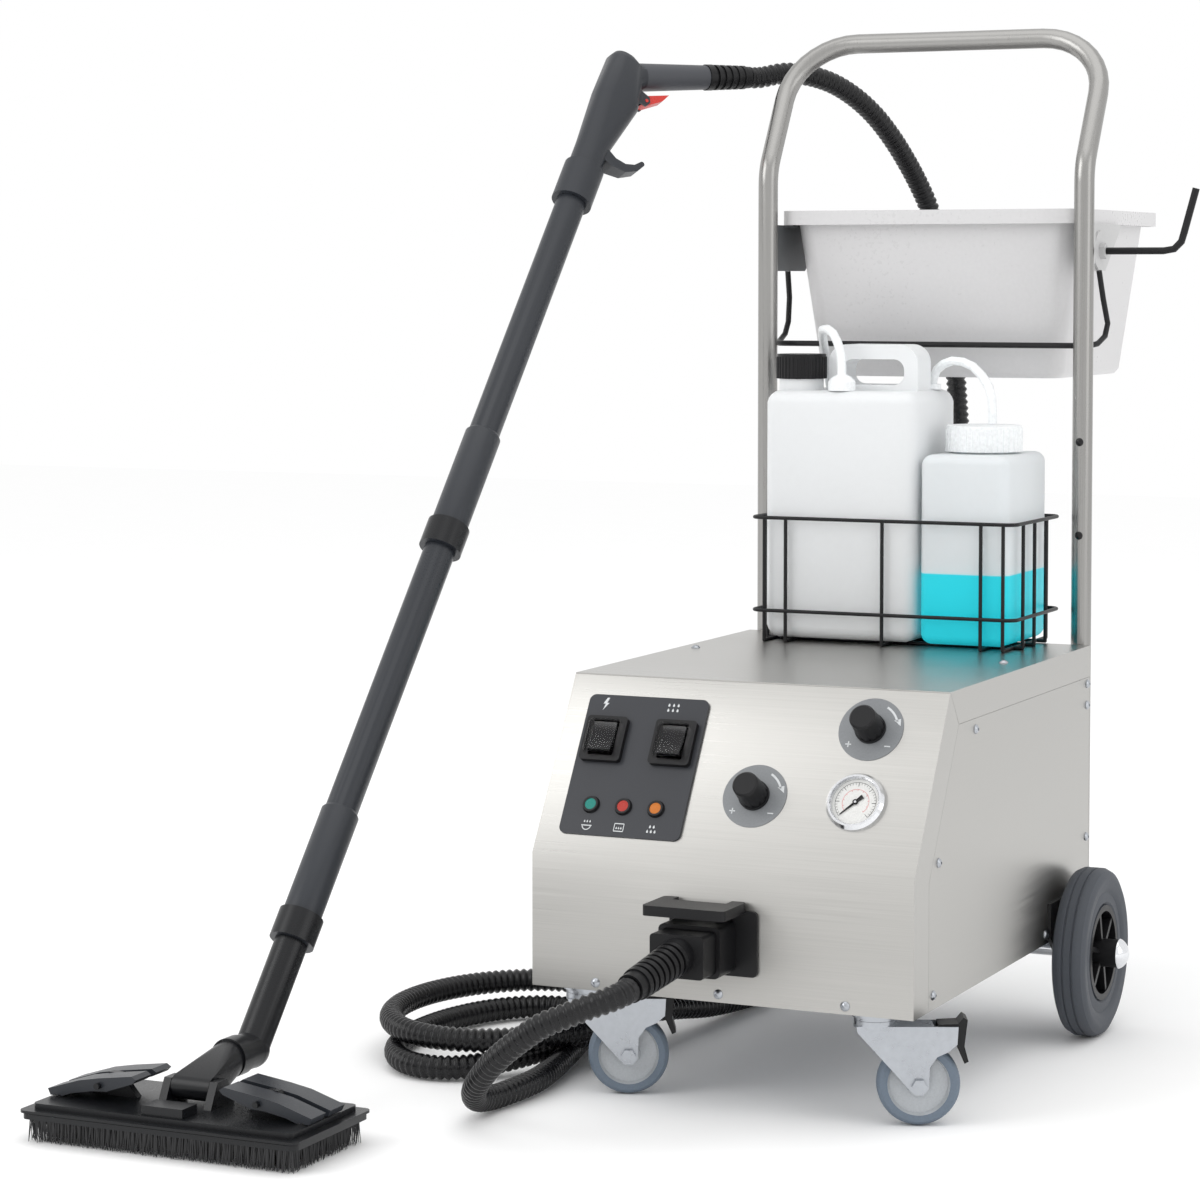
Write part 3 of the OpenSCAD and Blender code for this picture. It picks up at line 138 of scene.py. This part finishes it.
def surface(name, colour, roughness, metallic=0.0, stretch=(700, 700, 700), depth=0.00006,
            broad=9.0, spread=0.1, shade=0.12, **sockets):
    """A Principled material whose roughness, colour and bump vary with the grain group."""
    material = bpy.data.materials.new(name)
    material.use_nodes = True
    tree, link = material.node_tree.nodes, material.node_tree.links.new
    shader = tree["Principled BSDF"]
    shader.inputs["Metallic"].default_value = metallic
    for socket, value in sockets.items():
        shader.inputs[socket.replace("_", " ")].default_value = value
    grain = tree.new("ShaderNodeGroup")
    grain.node_tree = grain_group
    grain.inputs["Stretch"].default_value = stretch
    grain.inputs["Broad"].default_value = broad
    mixed = tree.new("ShaderNodeMath")
    mixed.operation = "ADD"
    link(grain.outputs["Grain"], mixed.inputs[0])
    link(grain.outputs["Unevenness"], mixed.inputs[1])
    even = tree.new("ShaderNodeMapRange")
    even.inputs["From Min"].default_value = 0.6
    even.inputs["From Max"].default_value = 1.4
    link(mixed.outputs[0], even.inputs["Value"])
    rough = tree.new("ShaderNodeMapRange")
    rough.inputs["To Min"].default_value = max(0.02, roughness - spread)
    rough.inputs["To Max"].default_value = roughness + spread
    link(even.outputs["Result"], rough.inputs["Value"])
    link(rough.outputs["Result"], shader.inputs["Roughness"])
    tint = tree.new("ShaderNodeMix")
    tint.data_type = "RGBA"
    tint.inputs["A"].default_value = (*[c * (1 - shade) for c in colour], 1)
    tint.inputs["B"].default_value = (*[min(1, c * (1 + shade)) for c in colour], 1)
    link(even.outputs["Result"], tint.inputs["Factor"])
    link(tint.outputs["Result"], shader.inputs["Base Color"])
    bump = tree.new("ShaderNodeBump")
    bump.inputs["Strength"].default_value = 0.6
    bump.inputs["Distance"].default_value = depth
    link(grain.outputs["Grain"], bump.inputs["Height"])
    link(bump.outputs["Normal"], shader.inputs["Normal"])
    return material


floor = new_piece("floor", lambda bm: bmesh.ops.create_grid(bm, x_segments=1, y_segments=1, size=9))
floor.data.transform(Matrix.Translation((0, 0, -0.0006)))
floor.data.materials.append(surface("pale floor", (0.98, 0.98, 0.98), 0.9, shade=0.005, depth=0,
                                    Specular_IOR_Level=0.0))

# ---------------------------------------------------------------- steam hose
# A black corrugated hose over a pressure line, 25 mm outside. It leaves the plug's boot, falls to the
# floor, makes two loose turns and runs under the body, then climbs behind the bucket to the gun.
machine_shift = Vector((0.129, -0.2655, 0))


def in_frame(x, y, z):
    """A point of the machine's own layout, given in millimetres, in the shared frame."""
    return Vector((x, y, z)) / 1000 + machine_shift


boot_tip = in_frame(-22.3, -157.9, 149.3)
hose_start = [
    (-32, -183, 143), (-48, -196, 137), (-66, -203, 129), (-90, -207, 118), (-116, -204, 100),
    (-144, -194, 78),
    (-170, -174, 54), (-190, -148, 34), (-202, -118, 19), (-203, -86, 13), (-197, -50, 13),
    (-195, 0, 13), (-203, 55, 13), (-215, 110, 13), (-228, 165, 13)]
hose_end = [
    (-186, 235, 36), (-177, 300, 28), (-166, 370, 18), (-156, 450, 13), (-148, 530, 13), (-141, 610, 13),
    (-134, 690, 13), (-125, 770, 13), (-113, 845, 14), (-97, 905, 26), (-84, 944, 60), (-76, 962, 115),
    (-73, 969, 190), (-73, 971, 275), (-75, 971, 360), (-78, 969, 445), (-82, 966, 530), (-86, 963, 615),
    (-91, 958, 700), (-97, 952, 775), (-105, 943, 840), (-114, 927, 890), (-121, 905, 922),
    (-128, 877, 951), (-136, 849, 977), (-146, 819, 1001), (-159, 788, 1021), (-175, 757, 1036),
    (-193, 727, 1044), (-213, 701, 1046)]


def coil_point(angle):
    rise = min(1, max(0, (angle - 290) / 110))
    rise = rise * rise * (3 - 2 * rise)
    turn = math.radians(angle)
    return (-320 + 10 * rise + (86 + 34 * rise) * math.cos(turn),
            160 + 20 * rise + 155 * math.sin(turn), 13 + 25.5 * rise)


# The wand leans back and a little to the side; the gun's grip rises backwards from its top.
lance_swivel, lance_tilt, gun_roll, grip_rise = (math.radians(a) for a in (3.5, 36.7, 42, 33))
lance_way = Vector((math.sin(lance_swivel) * math.cos(lance_tilt), math.sin(lance_tilt),
                    math.cos(lance_swivel) * math.cos(lance_tilt)))
lance_side = Vector((math.cos(lance_swivel), 0, -math.sin(lance_swivel)))
grip_way = (math.cos(grip_rise) * (math.sin(gun_roll) * lance_side
                                   + math.cos(gun_roll) * lance_way.cross(lance_side))
            + math.sin(grip_rise) * lance_way)
grip_foot = in_frame(-402, -205, 66) + 1.2103 * lance_way
cuff_tip = grip_foot + 0.1743 * grip_way
hose_coil = [coil_point(angle) for angle in range(25, 726, 24)]
boot_down, boot_left, seat_gap = math.radians(10.5), math.radians(7), 0.0003
boot_way = Vector((-math.sin(boot_left) * math.cos(boot_down), -math.cos(boot_left) * math.cos(boot_down),
                   -math.sin(boot_down)))
hose_points = ([boot_tip + seat_gap * boot_way, boot_tip + 0.012 * boot_way]
               + [in_frame(*p) for p in hose_start + hose_coil + hose_end]
               + [cuff_tip + 0.018 * grip_way, cuff_tip + seat_gap * grip_way])


def smooth_route(points, spacing):
    """The same route as a smooth curve through its points, in even steps."""
    dense = []
    for i in range(len(points) - 1):
        a, b, c, d = (points[max(i - 1, 0)], points[i], points[i + 1], points[min(i + 2, len(points) - 1)])
        dense += [0.5 * (2 * b + (c - a) * t + (2 * a - 5 * b + 4 * c - d) * t * t
                         + (3 * b - a - 3 * c + d) * t ** 3) for t in [k / 12 for k in range(12)]]
    dense.append(points[-1])
    steps, run = [dense[0]], 0.0
    for before, after in zip(dense, dense[1:]):
        length = (after - before).length
        while run + length >= spacing:
            before = before + (after - before) * ((spacing - run) / length)
            length, run = (after - before).length, 0.0
            steps.append(before)
        run += length
    return steps


def tube_along(bm, steps, radius_at, sides):
    """Rings of the given radius along the steps, joined into a closed tube."""
    side, rings = Vector((0.1, 0.2, 1)), []
    for i, centre in enumerate(steps):
        way = (steps[min(i + 1, len(steps) - 1)] - steps[max(i - 1, 0)]).normalized()
        side = (side - side.dot(way) * way).normalized()
        other = way.cross(side)
        rings.append([bm.verts.new(centre + radius_at(i) * (
            math.cos(2 * math.pi * k / sides) * side + math.sin(2 * math.pi * k / sides) * other))
            for k in range(sides)])
    for low, high in zip(rings, rings[1:]):
        for k in range(sides):
            bm.faces.new((low[k], low[(k + 1) % sides], high[(k + 1) % sides], high[k]))
    bm.faces.new(rings[0][::-1])
    bm.faces.new(rings[-1])
    for face in bm.faces:
        face.smooth = True


rib_profile = (0.0101, 0.0112, 0.0124, 0.0124, 0.0112)
rib_pitch = 0.0078
hose_steps = smooth_route(hose_points, rib_pitch / len(rib_profile))
hose = new_piece("ribbed_steam_hose", lambda bm: tube_along(
    bm, hose_steps, lambda i: rib_profile[i % len(rib_profile)], 16))
hose.data.materials.append(surface("hose rubber", (0.006, 0.006, 0.007), 0.3, stretch=(300, 300, 300),
                                   Specular_IOR_Level=0.35))
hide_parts("steam_hose")
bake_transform(hose)

# ---------------------------------------------------------------- sheet-steel body
# Folded stainless sheet, 1.5 mm, brushed along the body's width on the front and top and from front to
# back on the sides. Zinc-plated button screws hold the covers.
steel_colour = (0.46, 0.453, 0.435)
steel_across = surface("steel brushed across", steel_colour, 0.34, metallic=1.0, stretch=(6, 900, 900),
                       depth=0.00004, broad=2.5, spread=0.1, shade=0.09)
steel_along = surface("steel brushed along", steel_colour, 0.36, metallic=1.0, stretch=(900, 6, 900),
                      depth=0.00004, broad=2.5, spread=0.1, shade=0.09)
steel_upright = surface("steel tube", (0.34, 0.335, 0.325), 0.3, metallic=1.0, stretch=(700, 700, 9),
                        depth=0.00003, broad=4, spread=0.08, shade=0.05)
zinc = surface("zinc plate", (0.44, 0.46, 0.49), 0.32, metallic=1.0, stretch=(160, 160, 160),
               depth=0.00004, broad=30, spread=0.1, shade=0.1)


def smooth_faces(piece, angle=35):
    """Shades a CAD node's curved faces smoothly and keeps its corners sharp."""
    mesh = piece.data
    mesh.polygons.foreach_set("use_smooth", [True] * len(mesh.polygons))
    weld = piece.modifiers.new("weld", "WELD")
    weld.merge_threshold = 0.000005
    piece.modifiers.new("corners", "EDGE_SPLIT").split_angle = math.radians(angle)


def coat(names, material, also=None):
    """Gives CAD nodes a material. also = (second material, test on a face's centre) picks out a part."""
    for name in names.split():
        node = nodes[name]
        node.data.materials.clear()
        node.data.materials.append(material)
        if also:
            node.data.materials.append(also[0])
        for face in node.data.polygons:
            face.material_index = 1 if also and also[1](face.center) else 0
        smooth_faces(node)


coat("front_panel top_cover rear_panel", steel_across)
coat("side_panel_left side_panel_right", steel_along)
coat("base_tray cover_screws castor_plates castor_fork_left castor_fork_right", zinc)
coat("boiler handle_frame", steel_upright)
black_paint = surface("black powder coat", (0.008, 0.008, 0.009), 0.42, stretch=(900, 900, 900),
                      depth=0.00012, shade=0.1, Specular_IOR_Level=0.3)
coat("axle_brackets bracket_rods wire_basket gauge_needle", black_paint)
black_plastic = surface("black moulded plastic", (0.006, 0.006, 0.007), 0.42, stretch=(1200, 1200, 1200),
                        depth=0.00008, Specular_IOR_Level=0.3)
coat("switch_frames steam_socket socket_flap hose_plug cable_gland brake_pedal_left brake_pedal_right "
     "water_can_cap pump hose_cuff steam_knob detergent_knob", black_plastic)
gloss_black = surface("glossy black plastic", (0.005, 0.005, 0.006), 0.16, spread=0.05,
                      Specular_IOR_Level=0.35)
coat("power_rocker steam_rocker", gloss_black)
coat("solenoid_valve", surface("machined brass", (0.78, 0.57, 0.22), 0.3, metallic=1.0))
coat("bucket", surface("grey bucket plastic", (0.62, 0.615, 0.62), 0.34, stretch=(250, 250, 250),
                       depth=0.00005, broad=3, shade=0.03))
coat("bucket_brackets", surface("dark grey paint", (0.09, 0.095, 0.1), 0.42, stretch=(600, 600, 600)),
     also=(surface("pale grey paint", (0.5, 0.5, 0.5), 0.4, stretch=(600, 600, 600)),
           lambda centre: centre.x > machine_shift.x))

# Two black domed bolts stand one above the other on the front of the handle's right-hand tube.
handle_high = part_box("handle_frame")[1]
tube_radius = 0.011
tube_front = in_frame(0, 580.5, 0).y - tube_radius
bolt_heights = (0.528, 0.630)


def domed_bolts(bm):
    for height in bolt_heights:
        made = bmesh.ops.create_uvsphere(bm, u_segments=20, v_segments=12, radius=0.0045)
        bmesh.ops.scale(bm, vec=(1, 0.55, 1), verts=made["verts"])
        bmesh.ops.translate(bm, vec=(handle_high.x - tube_radius, tube_front, height), verts=made["verts"])
    for face in bm.faces:
        face.smooth = True


bolts = new_piece("handle_bolts", domed_bolts)
bolts.data.materials.append(gloss_black)
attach(bolts, "machine")

# ---------------------------------------------------------------- control panel
# A dark grey printed plate with its corners rounded. The signs are screen printed in pale grey.
panel_grey = surface("dark panel laminate", (0.036, 0.038, 0.044), 0.36, stretch=(1500, 1500, 1500),
                     depth=0.00003, Specular_IOR_Level=0.3)
coat("control_panel", panel_grey)

knob_joint = joints["steam_knob_turn"]
slope_out = Vector(knob_joint["axis"])
slope_up = slope_out.cross(Vector((1, 0, 0)))
steam_knob_spot = (0.022, 0.075)
detergent_knob_spot = (0.127, 0.1525)
gauge_spot = (0.127, 0.075)
slope_home = Vector(knob_joint["pos_m"]) - Vector((steam_knob_spot[0], 0, 0)) - steam_knob_spot[1] * slope_up


def on_slope(u, s, lift):
    """Turns a piece's own plane into the sloping front: u across, s up the slope, lift above the sheet."""
    turn = Matrix((Vector((1, 0, 0)), slope_up, slope_out)).transposed().to_4x4()
    return Matrix.Translation(slope_home + Vector((u, 0, 0)) + s * slope_up + lift * slope_out) @ turn


def printed(name, outlines, place, material, body="machine", thick=0.0002):
    """Flat printed shapes, each outline in metres in its own plane, laid on a surface."""
    def cut(bm):
        for outline in outlines:
            face = bm.faces.new([bm.verts.new((x, y, 0)) for x, y in outline])
            up = bmesh.ops.extrude_face_region(bm, geom=[face])
            raised = [v for v in up["geom"] if isinstance(v, bmesh.types.BMVert)]
            bmesh.ops.translate(bm, vec=(0, 0, thick), verts=raised)
        bmesh.ops.recalc_face_normals(bm, faces=bm.faces)
        bmesh.ops.transform(bm, matrix=place, verts=bm.verts)
    piece = new_piece(name, cut)
    piece.data.materials.append(material)
    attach(piece, body)
    return piece


def band(radius, width, start, stop, steps=14):
    """The outline of a curved stripe, angles in degrees."""
    angles = [math.radians(start + (stop - start) * k / steps) for k in range(steps + 1)]
    outer = [((radius + width / 2) * math.cos(a), (radius + width / 2) * math.sin(a)) for a in angles]
    inner = [((radius - width / 2) * math.cos(a), (radius - width / 2) * math.sin(a)) for a in angles]
    return outer + inner[::-1]


def moved(outline, x, y, size=1.0):
    return [(x + size * px, y + size * py) for px, py in outline]


print_pale = surface("pale print", (0.6, 0.62, 0.63), 0.5, depth=0)
panel_lift = 0.0031
mm = 0.001
sign_lines = 0.162, 0.031  # how far up the slope the upper and the lower row of signs stand
power_sign_u, liquid_sign_u = -0.1566, -0.083
lamp_u = (-0.147, -0.112, -0.077)
bolt = [(0, 7), (-3.2, 0.4), (-0.6, 0.4), (-2.4, -6.6), (3.2, 1.4), (0.6, 1.4), (2.6, 7)]
bolt = [(x * mm, y * mm) for x, y in bolt]
drop = [(0, 2.6), (-1.2, 0.4), (-1.3, -0.8), (-0.7, -1.7), (0.7, -1.7), (1.3, -0.8), (1.2, 0.4)]
drop = [(x * mm, y * mm) for x, y in drop]
bar = [(-5 * mm, -0.5 * mm), (5 * mm, -0.5 * mm), (5 * mm, 0.5 * mm), (-5 * mm, 0.5 * mm)]
tank_side = [(-0.4 * mm, -4 * mm), (0.4 * mm, -4 * mm), (0.4 * mm, 4 * mm), (-0.4 * mm, 4 * mm)]
two_rows = ((-5, 2.5), (0, 2.5), (5, 2.5), (-5, -3), (0, -3), (5, -3))
pyramid = ((-4, -2), (0, -2), (4, -2), (-2, 3), (2, 3))


def drops(places, size, rise=0.0):
    """Several drops at places in millimetres, rise metres higher."""
    return [moved(drop, x * mm, y * mm + rise, size) for x, y in places]


three_drops = ((-3, 0), (0, 0), (3, 0))
near_drops = ((-2.5, 0), (0, 0), (2.5, 0))
signs = (
    ("supply_sign", [bolt], power_sign_u, sign_lines[0]),
    ("detergent_sign", drops(two_rows, 0.85), liquid_sign_u, sign_lines[0]),
    ("steam_ready_sign", [band(4.5 * mm, 0.9 * mm, 180, 360), moved(bar, 0, 0, 1.1)]
     + drops(three_drops, 0.6, 4.2 * mm), lamp_u[0], sign_lines[1]),
    ("water_level_sign", [moved(bar, 0, 4 * mm), moved(bar, 0, -4 * mm)]
     + [moved(tank_side, x * mm, 0) for x in (-5, 5)]
     + drops(near_drops, 0.6, -0.8 * mm), lamp_u[1], sign_lines[1]),
    ("liquid_level_sign", drops(pyramid, 0.8), lamp_u[2], sign_lines[1]))
for sign, outlines, u, s in signs:
    printed(sign, outlines, on_slope(u, s, panel_lift), print_pale)

# Each rocker sits under a clear, flexible splash cover that is clipped into its frame.
clear_cover = surface("clear cover", (1, 1, 1), 0.03, spread=0.01, depth=0, shade=0.0,
                      Transmission_Weight=1.0, IOR=1.12)
switch_s, cover_lift = 0.123, 0.0125
for name, u in (("power", -0.1485), ("steam", -0.0735)):
    def cap(bm):
        bmesh.ops.create_cube(bm, size=1)
        bmesh.ops.scale(bm, vec=(0.034, 0.038, 0.011), verts=bm.verts)
        bmesh.ops.bevel(bm, geom=[e for e in bm.edges if max(v.co.z for v in e.verts) > 0],
                        offset=0.005, segments=6, profile=0.5, affect="EDGES", material=-1)
        for face in bm.faces:
            face.smooth = True
        bmesh.ops.transform(bm, matrix=on_slope(u, switch_s, cover_lift), verts=bm.verts)
    cover = new_piece(name + "_switch_cover", cap)
    cover.data.materials.append(clear_cover)
    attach(cover, "machine")

# ---------------------------------------------------------------- pilot lamps
# Three round lens lamps are pressed into black bezels: steam ready, water low and liquid low.
# The lenses are coloured plastic, lit faintly from behind.
lamp_colours = ((0.0, 0.16, 0.13), (0.32, 0.02, 0.012), (0.42, 0.12, 0.01))
lamp_s, lens_radius = 0.053, 0.00595
lamps = nodes["pilot_lamps"]
lamps.data.materials.clear()
lamps.data.materials.append(black_plastic)
for colour in lamp_colours:
    lamps.data.materials.append(surface("lamp lens %.2f" % colour[0], colour, 0.15, spread=0.04,
                                        Specular_IOR_Level=0.25, Emission_Color=(*colour, 1),
                                        Emission_Strength=0.25))
for face in lamps.data.polygons:
    away = face.center - slope_home
    u, s = away.x, away.dot(slope_up)
    nearest = min(range(3), key=lambda i: abs(u - lamp_u[i]))
    if math.hypot(u - lamp_u[nearest], s - lamp_s) < lens_radius:
        face.material_index = 1 + nearest
smooth_faces(lamps)

# ---------------------------------------------------------------- knob dials and gauge
# Grey printed discs lie under the black knobs, with plus, minus and a turning arrow. The pressure gauge
# has a chromed bezel over a white dial, a black needle and a flat glass.
coat("knob_dials", surface("grey dial print", (0.2, 0.21, 0.22), 0.4, depth=0.00002))
for name, (u, s) in (("steam", steam_knob_spot), ("detergent", detergent_knob_spot)):
    place = on_slope(u, s, 0.00085)
    stroke = [(-3 * mm, -0.6 * mm), (3 * mm, -0.6 * mm), (3 * mm, 0.6 * mm), (-3 * mm, 0.6 * mm)]
    upright = [(y, x) for x, y in stroke][::-1]
    printed(name + "_dial_marks", [
        moved(stroke, -20 * mm, -17 * mm), moved(upright, -20 * mm, -17 * mm),
        moved(stroke, 20 * mm, -17 * mm),
        band(27 * mm, 2.2 * mm, 62, 20), [(29.6 * mm, 5 * mm), (22 * mm, 10.5 * mm), (28.6 * mm, 12.5 * mm)]],
        place, print_pale)

dial_white = surface("gauge dial white", (0.8, 0.8, 0.78), 0.5, depth=0)
chrome = surface("chromed bezel", (0.75, 0.76, 0.78), 0.1, metallic=1.0, spread=0.04, depth=0)
gauge_joint = joints["needle_turn"]
gauge_home = Vector(gauge_joint["pos_m"])


def is_dial(centre):
    away = centre - gauge_home
    lift = away.dot(slope_out)
    return (away - lift * slope_out).length < 0.0238 and lift < 0.0


coat("gauge_case", chrome, also=(dial_white, is_dial))
gauge_ink = surface("gauge ink", (0.02, 0.02, 0.022), 0.5, depth=0)
gauge_pink = surface("gauge red ink", (0.75, 0.3, 0.3), 0.5, depth=0)
gauge_place = on_slope(*gauge_spot, 0.00203)
ticks = []
for k in range(31):
    angle = math.radians(225 - 9 * k)
    long = 4.0 if k % 5 == 0 else 2.2
    wide = 0.45 if k % 5 == 0 else 0.22
    across = Vector((-math.sin(angle), math.cos(angle))) * wide * mm / 2
    far, near = [Vector((math.cos(angle), math.sin(angle))) * r * mm for r in (20.5, 20.5 - long)]
    ticks.append([tuple(far + across), tuple(near + across), tuple(near - across), tuple(far - across)][::-1])
printed("gauge_scale", ticks + [band(20.7 * mm, 0.3 * mm, -45, 225, 40)], gauge_place, gauge_ink)
printed("gauge_inner_scale", [band(13.5 * mm, 0.4 * mm, -45, 225, 40)] + [
    band(12.6 * mm, 1.4 * mm, 225 - 27 * k - 1, 225 - 27 * k + 1, 2) for k in range(11)],
    gauge_place, gauge_pink)
coat("gauge_glass", surface("gauge glass", (1, 1, 1), 0.03, spread=0.01, depth=0, shade=0.0,
                            Transmission_Weight=1.0, IOR=1.05))

# ---------------------------------------------------------------- castors and rear wheels
# Each castor wheel is a grey tread moulded on a pale dished disc. The rear wheels are dark rubber tyres
# on black spoked plastic hubs, held on a plated axle.
tread_grey = surface("blue-grey tread", (0.13, 0.165, 0.21), 0.6, stretch=(500, 500, 500), depth=0.0001)
disc_grey = surface("pale grey disc", (0.42, 0.44, 0.46), 0.4, stretch=(500, 500, 500))
for side in ("left", "right"):
    axle = Vector(joints["castor_%s_roll" % side]["pos_m"])
    way = Vector(joints["castor_%s_roll" % side]["axis"])
    coat("castor_wheel_" + side, tread_grey, also=(disc_grey, lambda c: (
        (c - axle) - (c - axle).dot(way) * way).length < 0.0298))
tyre_rubber = surface("tyre rubber", (0.055, 0.062, 0.075), 0.62, stretch=(400, 400, 400), depth=0.00015)
for side in ("left", "right"):
    axle = Vector(joints["wheel_%s_roll" % side]["pos_m"])
    coat("rear_wheel_" + side, tyre_rubber, also=(black_plastic, lambda c: math.hypot(
        c.y - axle.y, c.z - axle.z) < 0.0503))
coat("rear_axle", chrome)

# ---------------------------------------------------------------- containers
# Blow-moulded natural polyethylene: milky, with a soft sheen. The bottle holds a cyan cleaning liquid; the
# liquid and the wall below its level carry a painted glow.
milky = surface("milky polyethylene", (0.95, 0.965, 0.975), 0.42, stretch=(120, 120, 120), depth=0.0, broad=6,
                spread=0.06, shade=0.015, Transmission_Weight=0.3, IOR=1.3)
coat("water_can", milky)
bottle_milky = surface("bottle polyethylene", (0.94, 0.965, 0.98), 0.4, stretch=(120, 120, 120), depth=0.0,
                       spread=0.06, shade=0.01, Transmission_Weight=0.4, IOR=1.3)
low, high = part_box("detergent_bottle")
liquid_top = low.z + 0.077


def tint_and_painted_glow_below(material, level, colour, painted_glow):
    """Lets the liquid's colour show in the wall up to its level, with a narrow soft edge, and paints a faint
    glow into the wall below the level.
    """
    tree, link = material.node_tree.nodes, material.node_tree.links.new
    place, axes = tree.new("ShaderNodeTexCoord"), tree.new("ShaderNodeSeparateXYZ")
    below, dyed = tree.new("ShaderNodeMapRange"), tree.new("ShaderNodeMix")
    dyed.data_type = "RGBA"
    below.inputs["From Min"].default_value = level + 0.0008
    below.inputs["From Max"].default_value = level - 0.0008
    link(place.outputs["Object"], axes.inputs[0])
    link(axes.outputs["Z"], below.inputs["Value"])
    shader = tree["Principled BSDF"]
    wall = shader.inputs["Base Color"].links[0].from_socket
    link(below.outputs["Result"], dyed.inputs["Factor"])
    link(wall, dyed.inputs["A"])
    dyed.inputs["B"].default_value = (*colour, 1)
    link(dyed.outputs["Result"], shader.inputs["Base Color"])
    # Below the level the wall gets a painted glow in the liquid's colour.
    shader.inputs["Emission Color"].default_value = (*colour, 1)
    painted_glow_strength = tree.new("ShaderNodeMath")
    painted_glow_strength.operation = "MULTIPLY"
    painted_glow_strength.inputs[1].default_value = painted_glow
    link(below.outputs["Result"], painted_glow_strength.inputs[0])
    link(painted_glow_strength.outputs[0], shader.inputs["Emission Strength"])


# The bottle wall below the liquid level is tinted cyan and given a painted glow.
tint_and_painted_glow_below(bottle_milky, liquid_top, (0.03, 0.7, 0.78), 0.16)
coat("detergent_bottle", bottle_milky)
coat("bottle_cap suction_tubes", surface("white polyethylene", (0.86, 0.88, 0.89), 0.35,
                                         stretch=(300, 300, 300)))


bottle_wall, liquid_depth, corner_radius = 0.0032, 0.074, 0.009


def fill_bottle(bm):
    bmesh.ops.create_cube(bm, size=1)
    size = Vector((high.x - low.x - 2 * bottle_wall, high.y - low.y - 2 * bottle_wall, liquid_depth))
    bmesh.ops.scale(bm, vec=size, verts=bm.verts)
    rounded = [e for e in bm.edges
               if abs((e.verts[0].co - e.verts[1].co).z) > 0.01 or e.verts[0].co.z < 0]
    bmesh.ops.bevel(bm, geom=rounded, offset=corner_radius, segments=6, profile=0.5, affect="EDGES",
                    material=-1)
    centre = ((low.x + high.x) / 2, (low.y + high.y) / 2, low.z + bottle_wall + liquid_depth / 2)
    bmesh.ops.translate(bm, vec=centre, verts=bm.verts)


liquid = new_piece("cleaning_liquid", fill_bottle)
# The liquid's emission is a painted glow.
liquid.data.materials.append(surface("cyan liquid with painted glow", (0.0, 0.62, 0.72), 0.1, depth=0, shade=0.04,
                                     Emission_Color=(0.0, 0.7, 0.78, 1), Emission_Strength=0.2))
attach(liquid, "machine")

# ---------------------------------------------------------------- wand
# The extension tubes, gun and brush are dark moulded plastic, joined by black collars. The trigger is
# red, and the grip is a paler grey rubber.
wand_grey = surface("wand plastic", (0.022, 0.025, 0.031), 0.36, stretch=(900, 900, 900), depth=0.00008,
                    Specular_IOR_Level=0.4)
wand_black = surface("wand black", (0.006, 0.0065, 0.008), 0.32, stretch=(900, 900, 900), depth=0.00006,
                     Specular_IOR_Level=0.35)
lance_foot = Vector(joints["neck_swivel"]["pos_m"])


def on_collar(centre):
    away = centre - lance_foot
    return (away - away.dot(lance_way) * lance_way).length > 0.0205


coat("lance_upper lance_middle", wand_grey, also=(wand_black, on_collar))
coat("lance_lower brush_neck brush_base bristles", wand_black)
coat("clamp_lever_front_left clamp_lever_front_right clamp_lever_rear_left clamp_lever_rear_right", wand_grey)
grip_grey = surface("grip rubber", (0.05, 0.053, 0.062), 0.5, stretch=(900, 900, 900), depth=0.0001)


def on_grip(centre):
    away = centre - grip_foot
    along = away.dot(grip_way)
    return 0.028 < along and (away - along * grip_way).length < 0.024


coat("gun_body", wand_grey, also=(grip_grey, on_grip))
coat("trigger", surface("red trigger", (0.62, 0.03, 0.02), 0.35))

# The bristles are nylon tufts stapled into the base in rows, each tuft spreading a little at its tip.
tuft_low, tuft_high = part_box("bristles")
spread_of = random.Random(4)


def tufts(bm):
    columns, rows, strands, edge = 44, 20, 7, 0.004
    for column in range(columns):
        for row in range(rows):
            root = Vector((
                tuft_low.x + edge + (tuft_high.x - tuft_low.x - 2 * edge) * column / (columns - 1),
                tuft_low.y + edge + (tuft_high.y - tuft_low.y - 2 * edge) * row / (rows - 1), tuft_high.z))
            for _ in range(strands):
                foot = root + Vector((spread_of.uniform(-0.002, 0.002), spread_of.uniform(-0.002, 0.002), 0))
                tip = foot + Vector((spread_of.uniform(-0.003, 0.003), spread_of.uniform(-0.003, 0.003), 0))
                tip.z = tuft_low.z + spread_of.uniform(0, 0.0012)
                tip.x = min(max(tip.x, tuft_low.x), tuft_high.x)
                tip.y = min(max(tip.y, tuft_low.y), tuft_high.y)
                ends = []
                for centre, thick in ((foot, 0.0006), (tip, 0.00035)):
                    ends.append([bm.verts.new(centre + thick * Vector((math.cos(a), math.sin(a), 0)))
                                 for a in (0, 2.1, 4.2)])
                for k in range(3):
                    bm.faces.new((ends[0][k], ends[1][k], ends[1][(k + 1) % 3], ends[0][(k + 1) % 3]))
                bm.faces.new(ends[1][::-1])
                bm.faces.new(ends[0])


bristles = new_piece("nylon_tufts", tufts)
bristles.data.materials.append(surface("bristle nylon", (0.02, 0.02, 0.022), 0.4, stretch=(900, 900, 200)))
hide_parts("bristles")
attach(bristles, "brush")
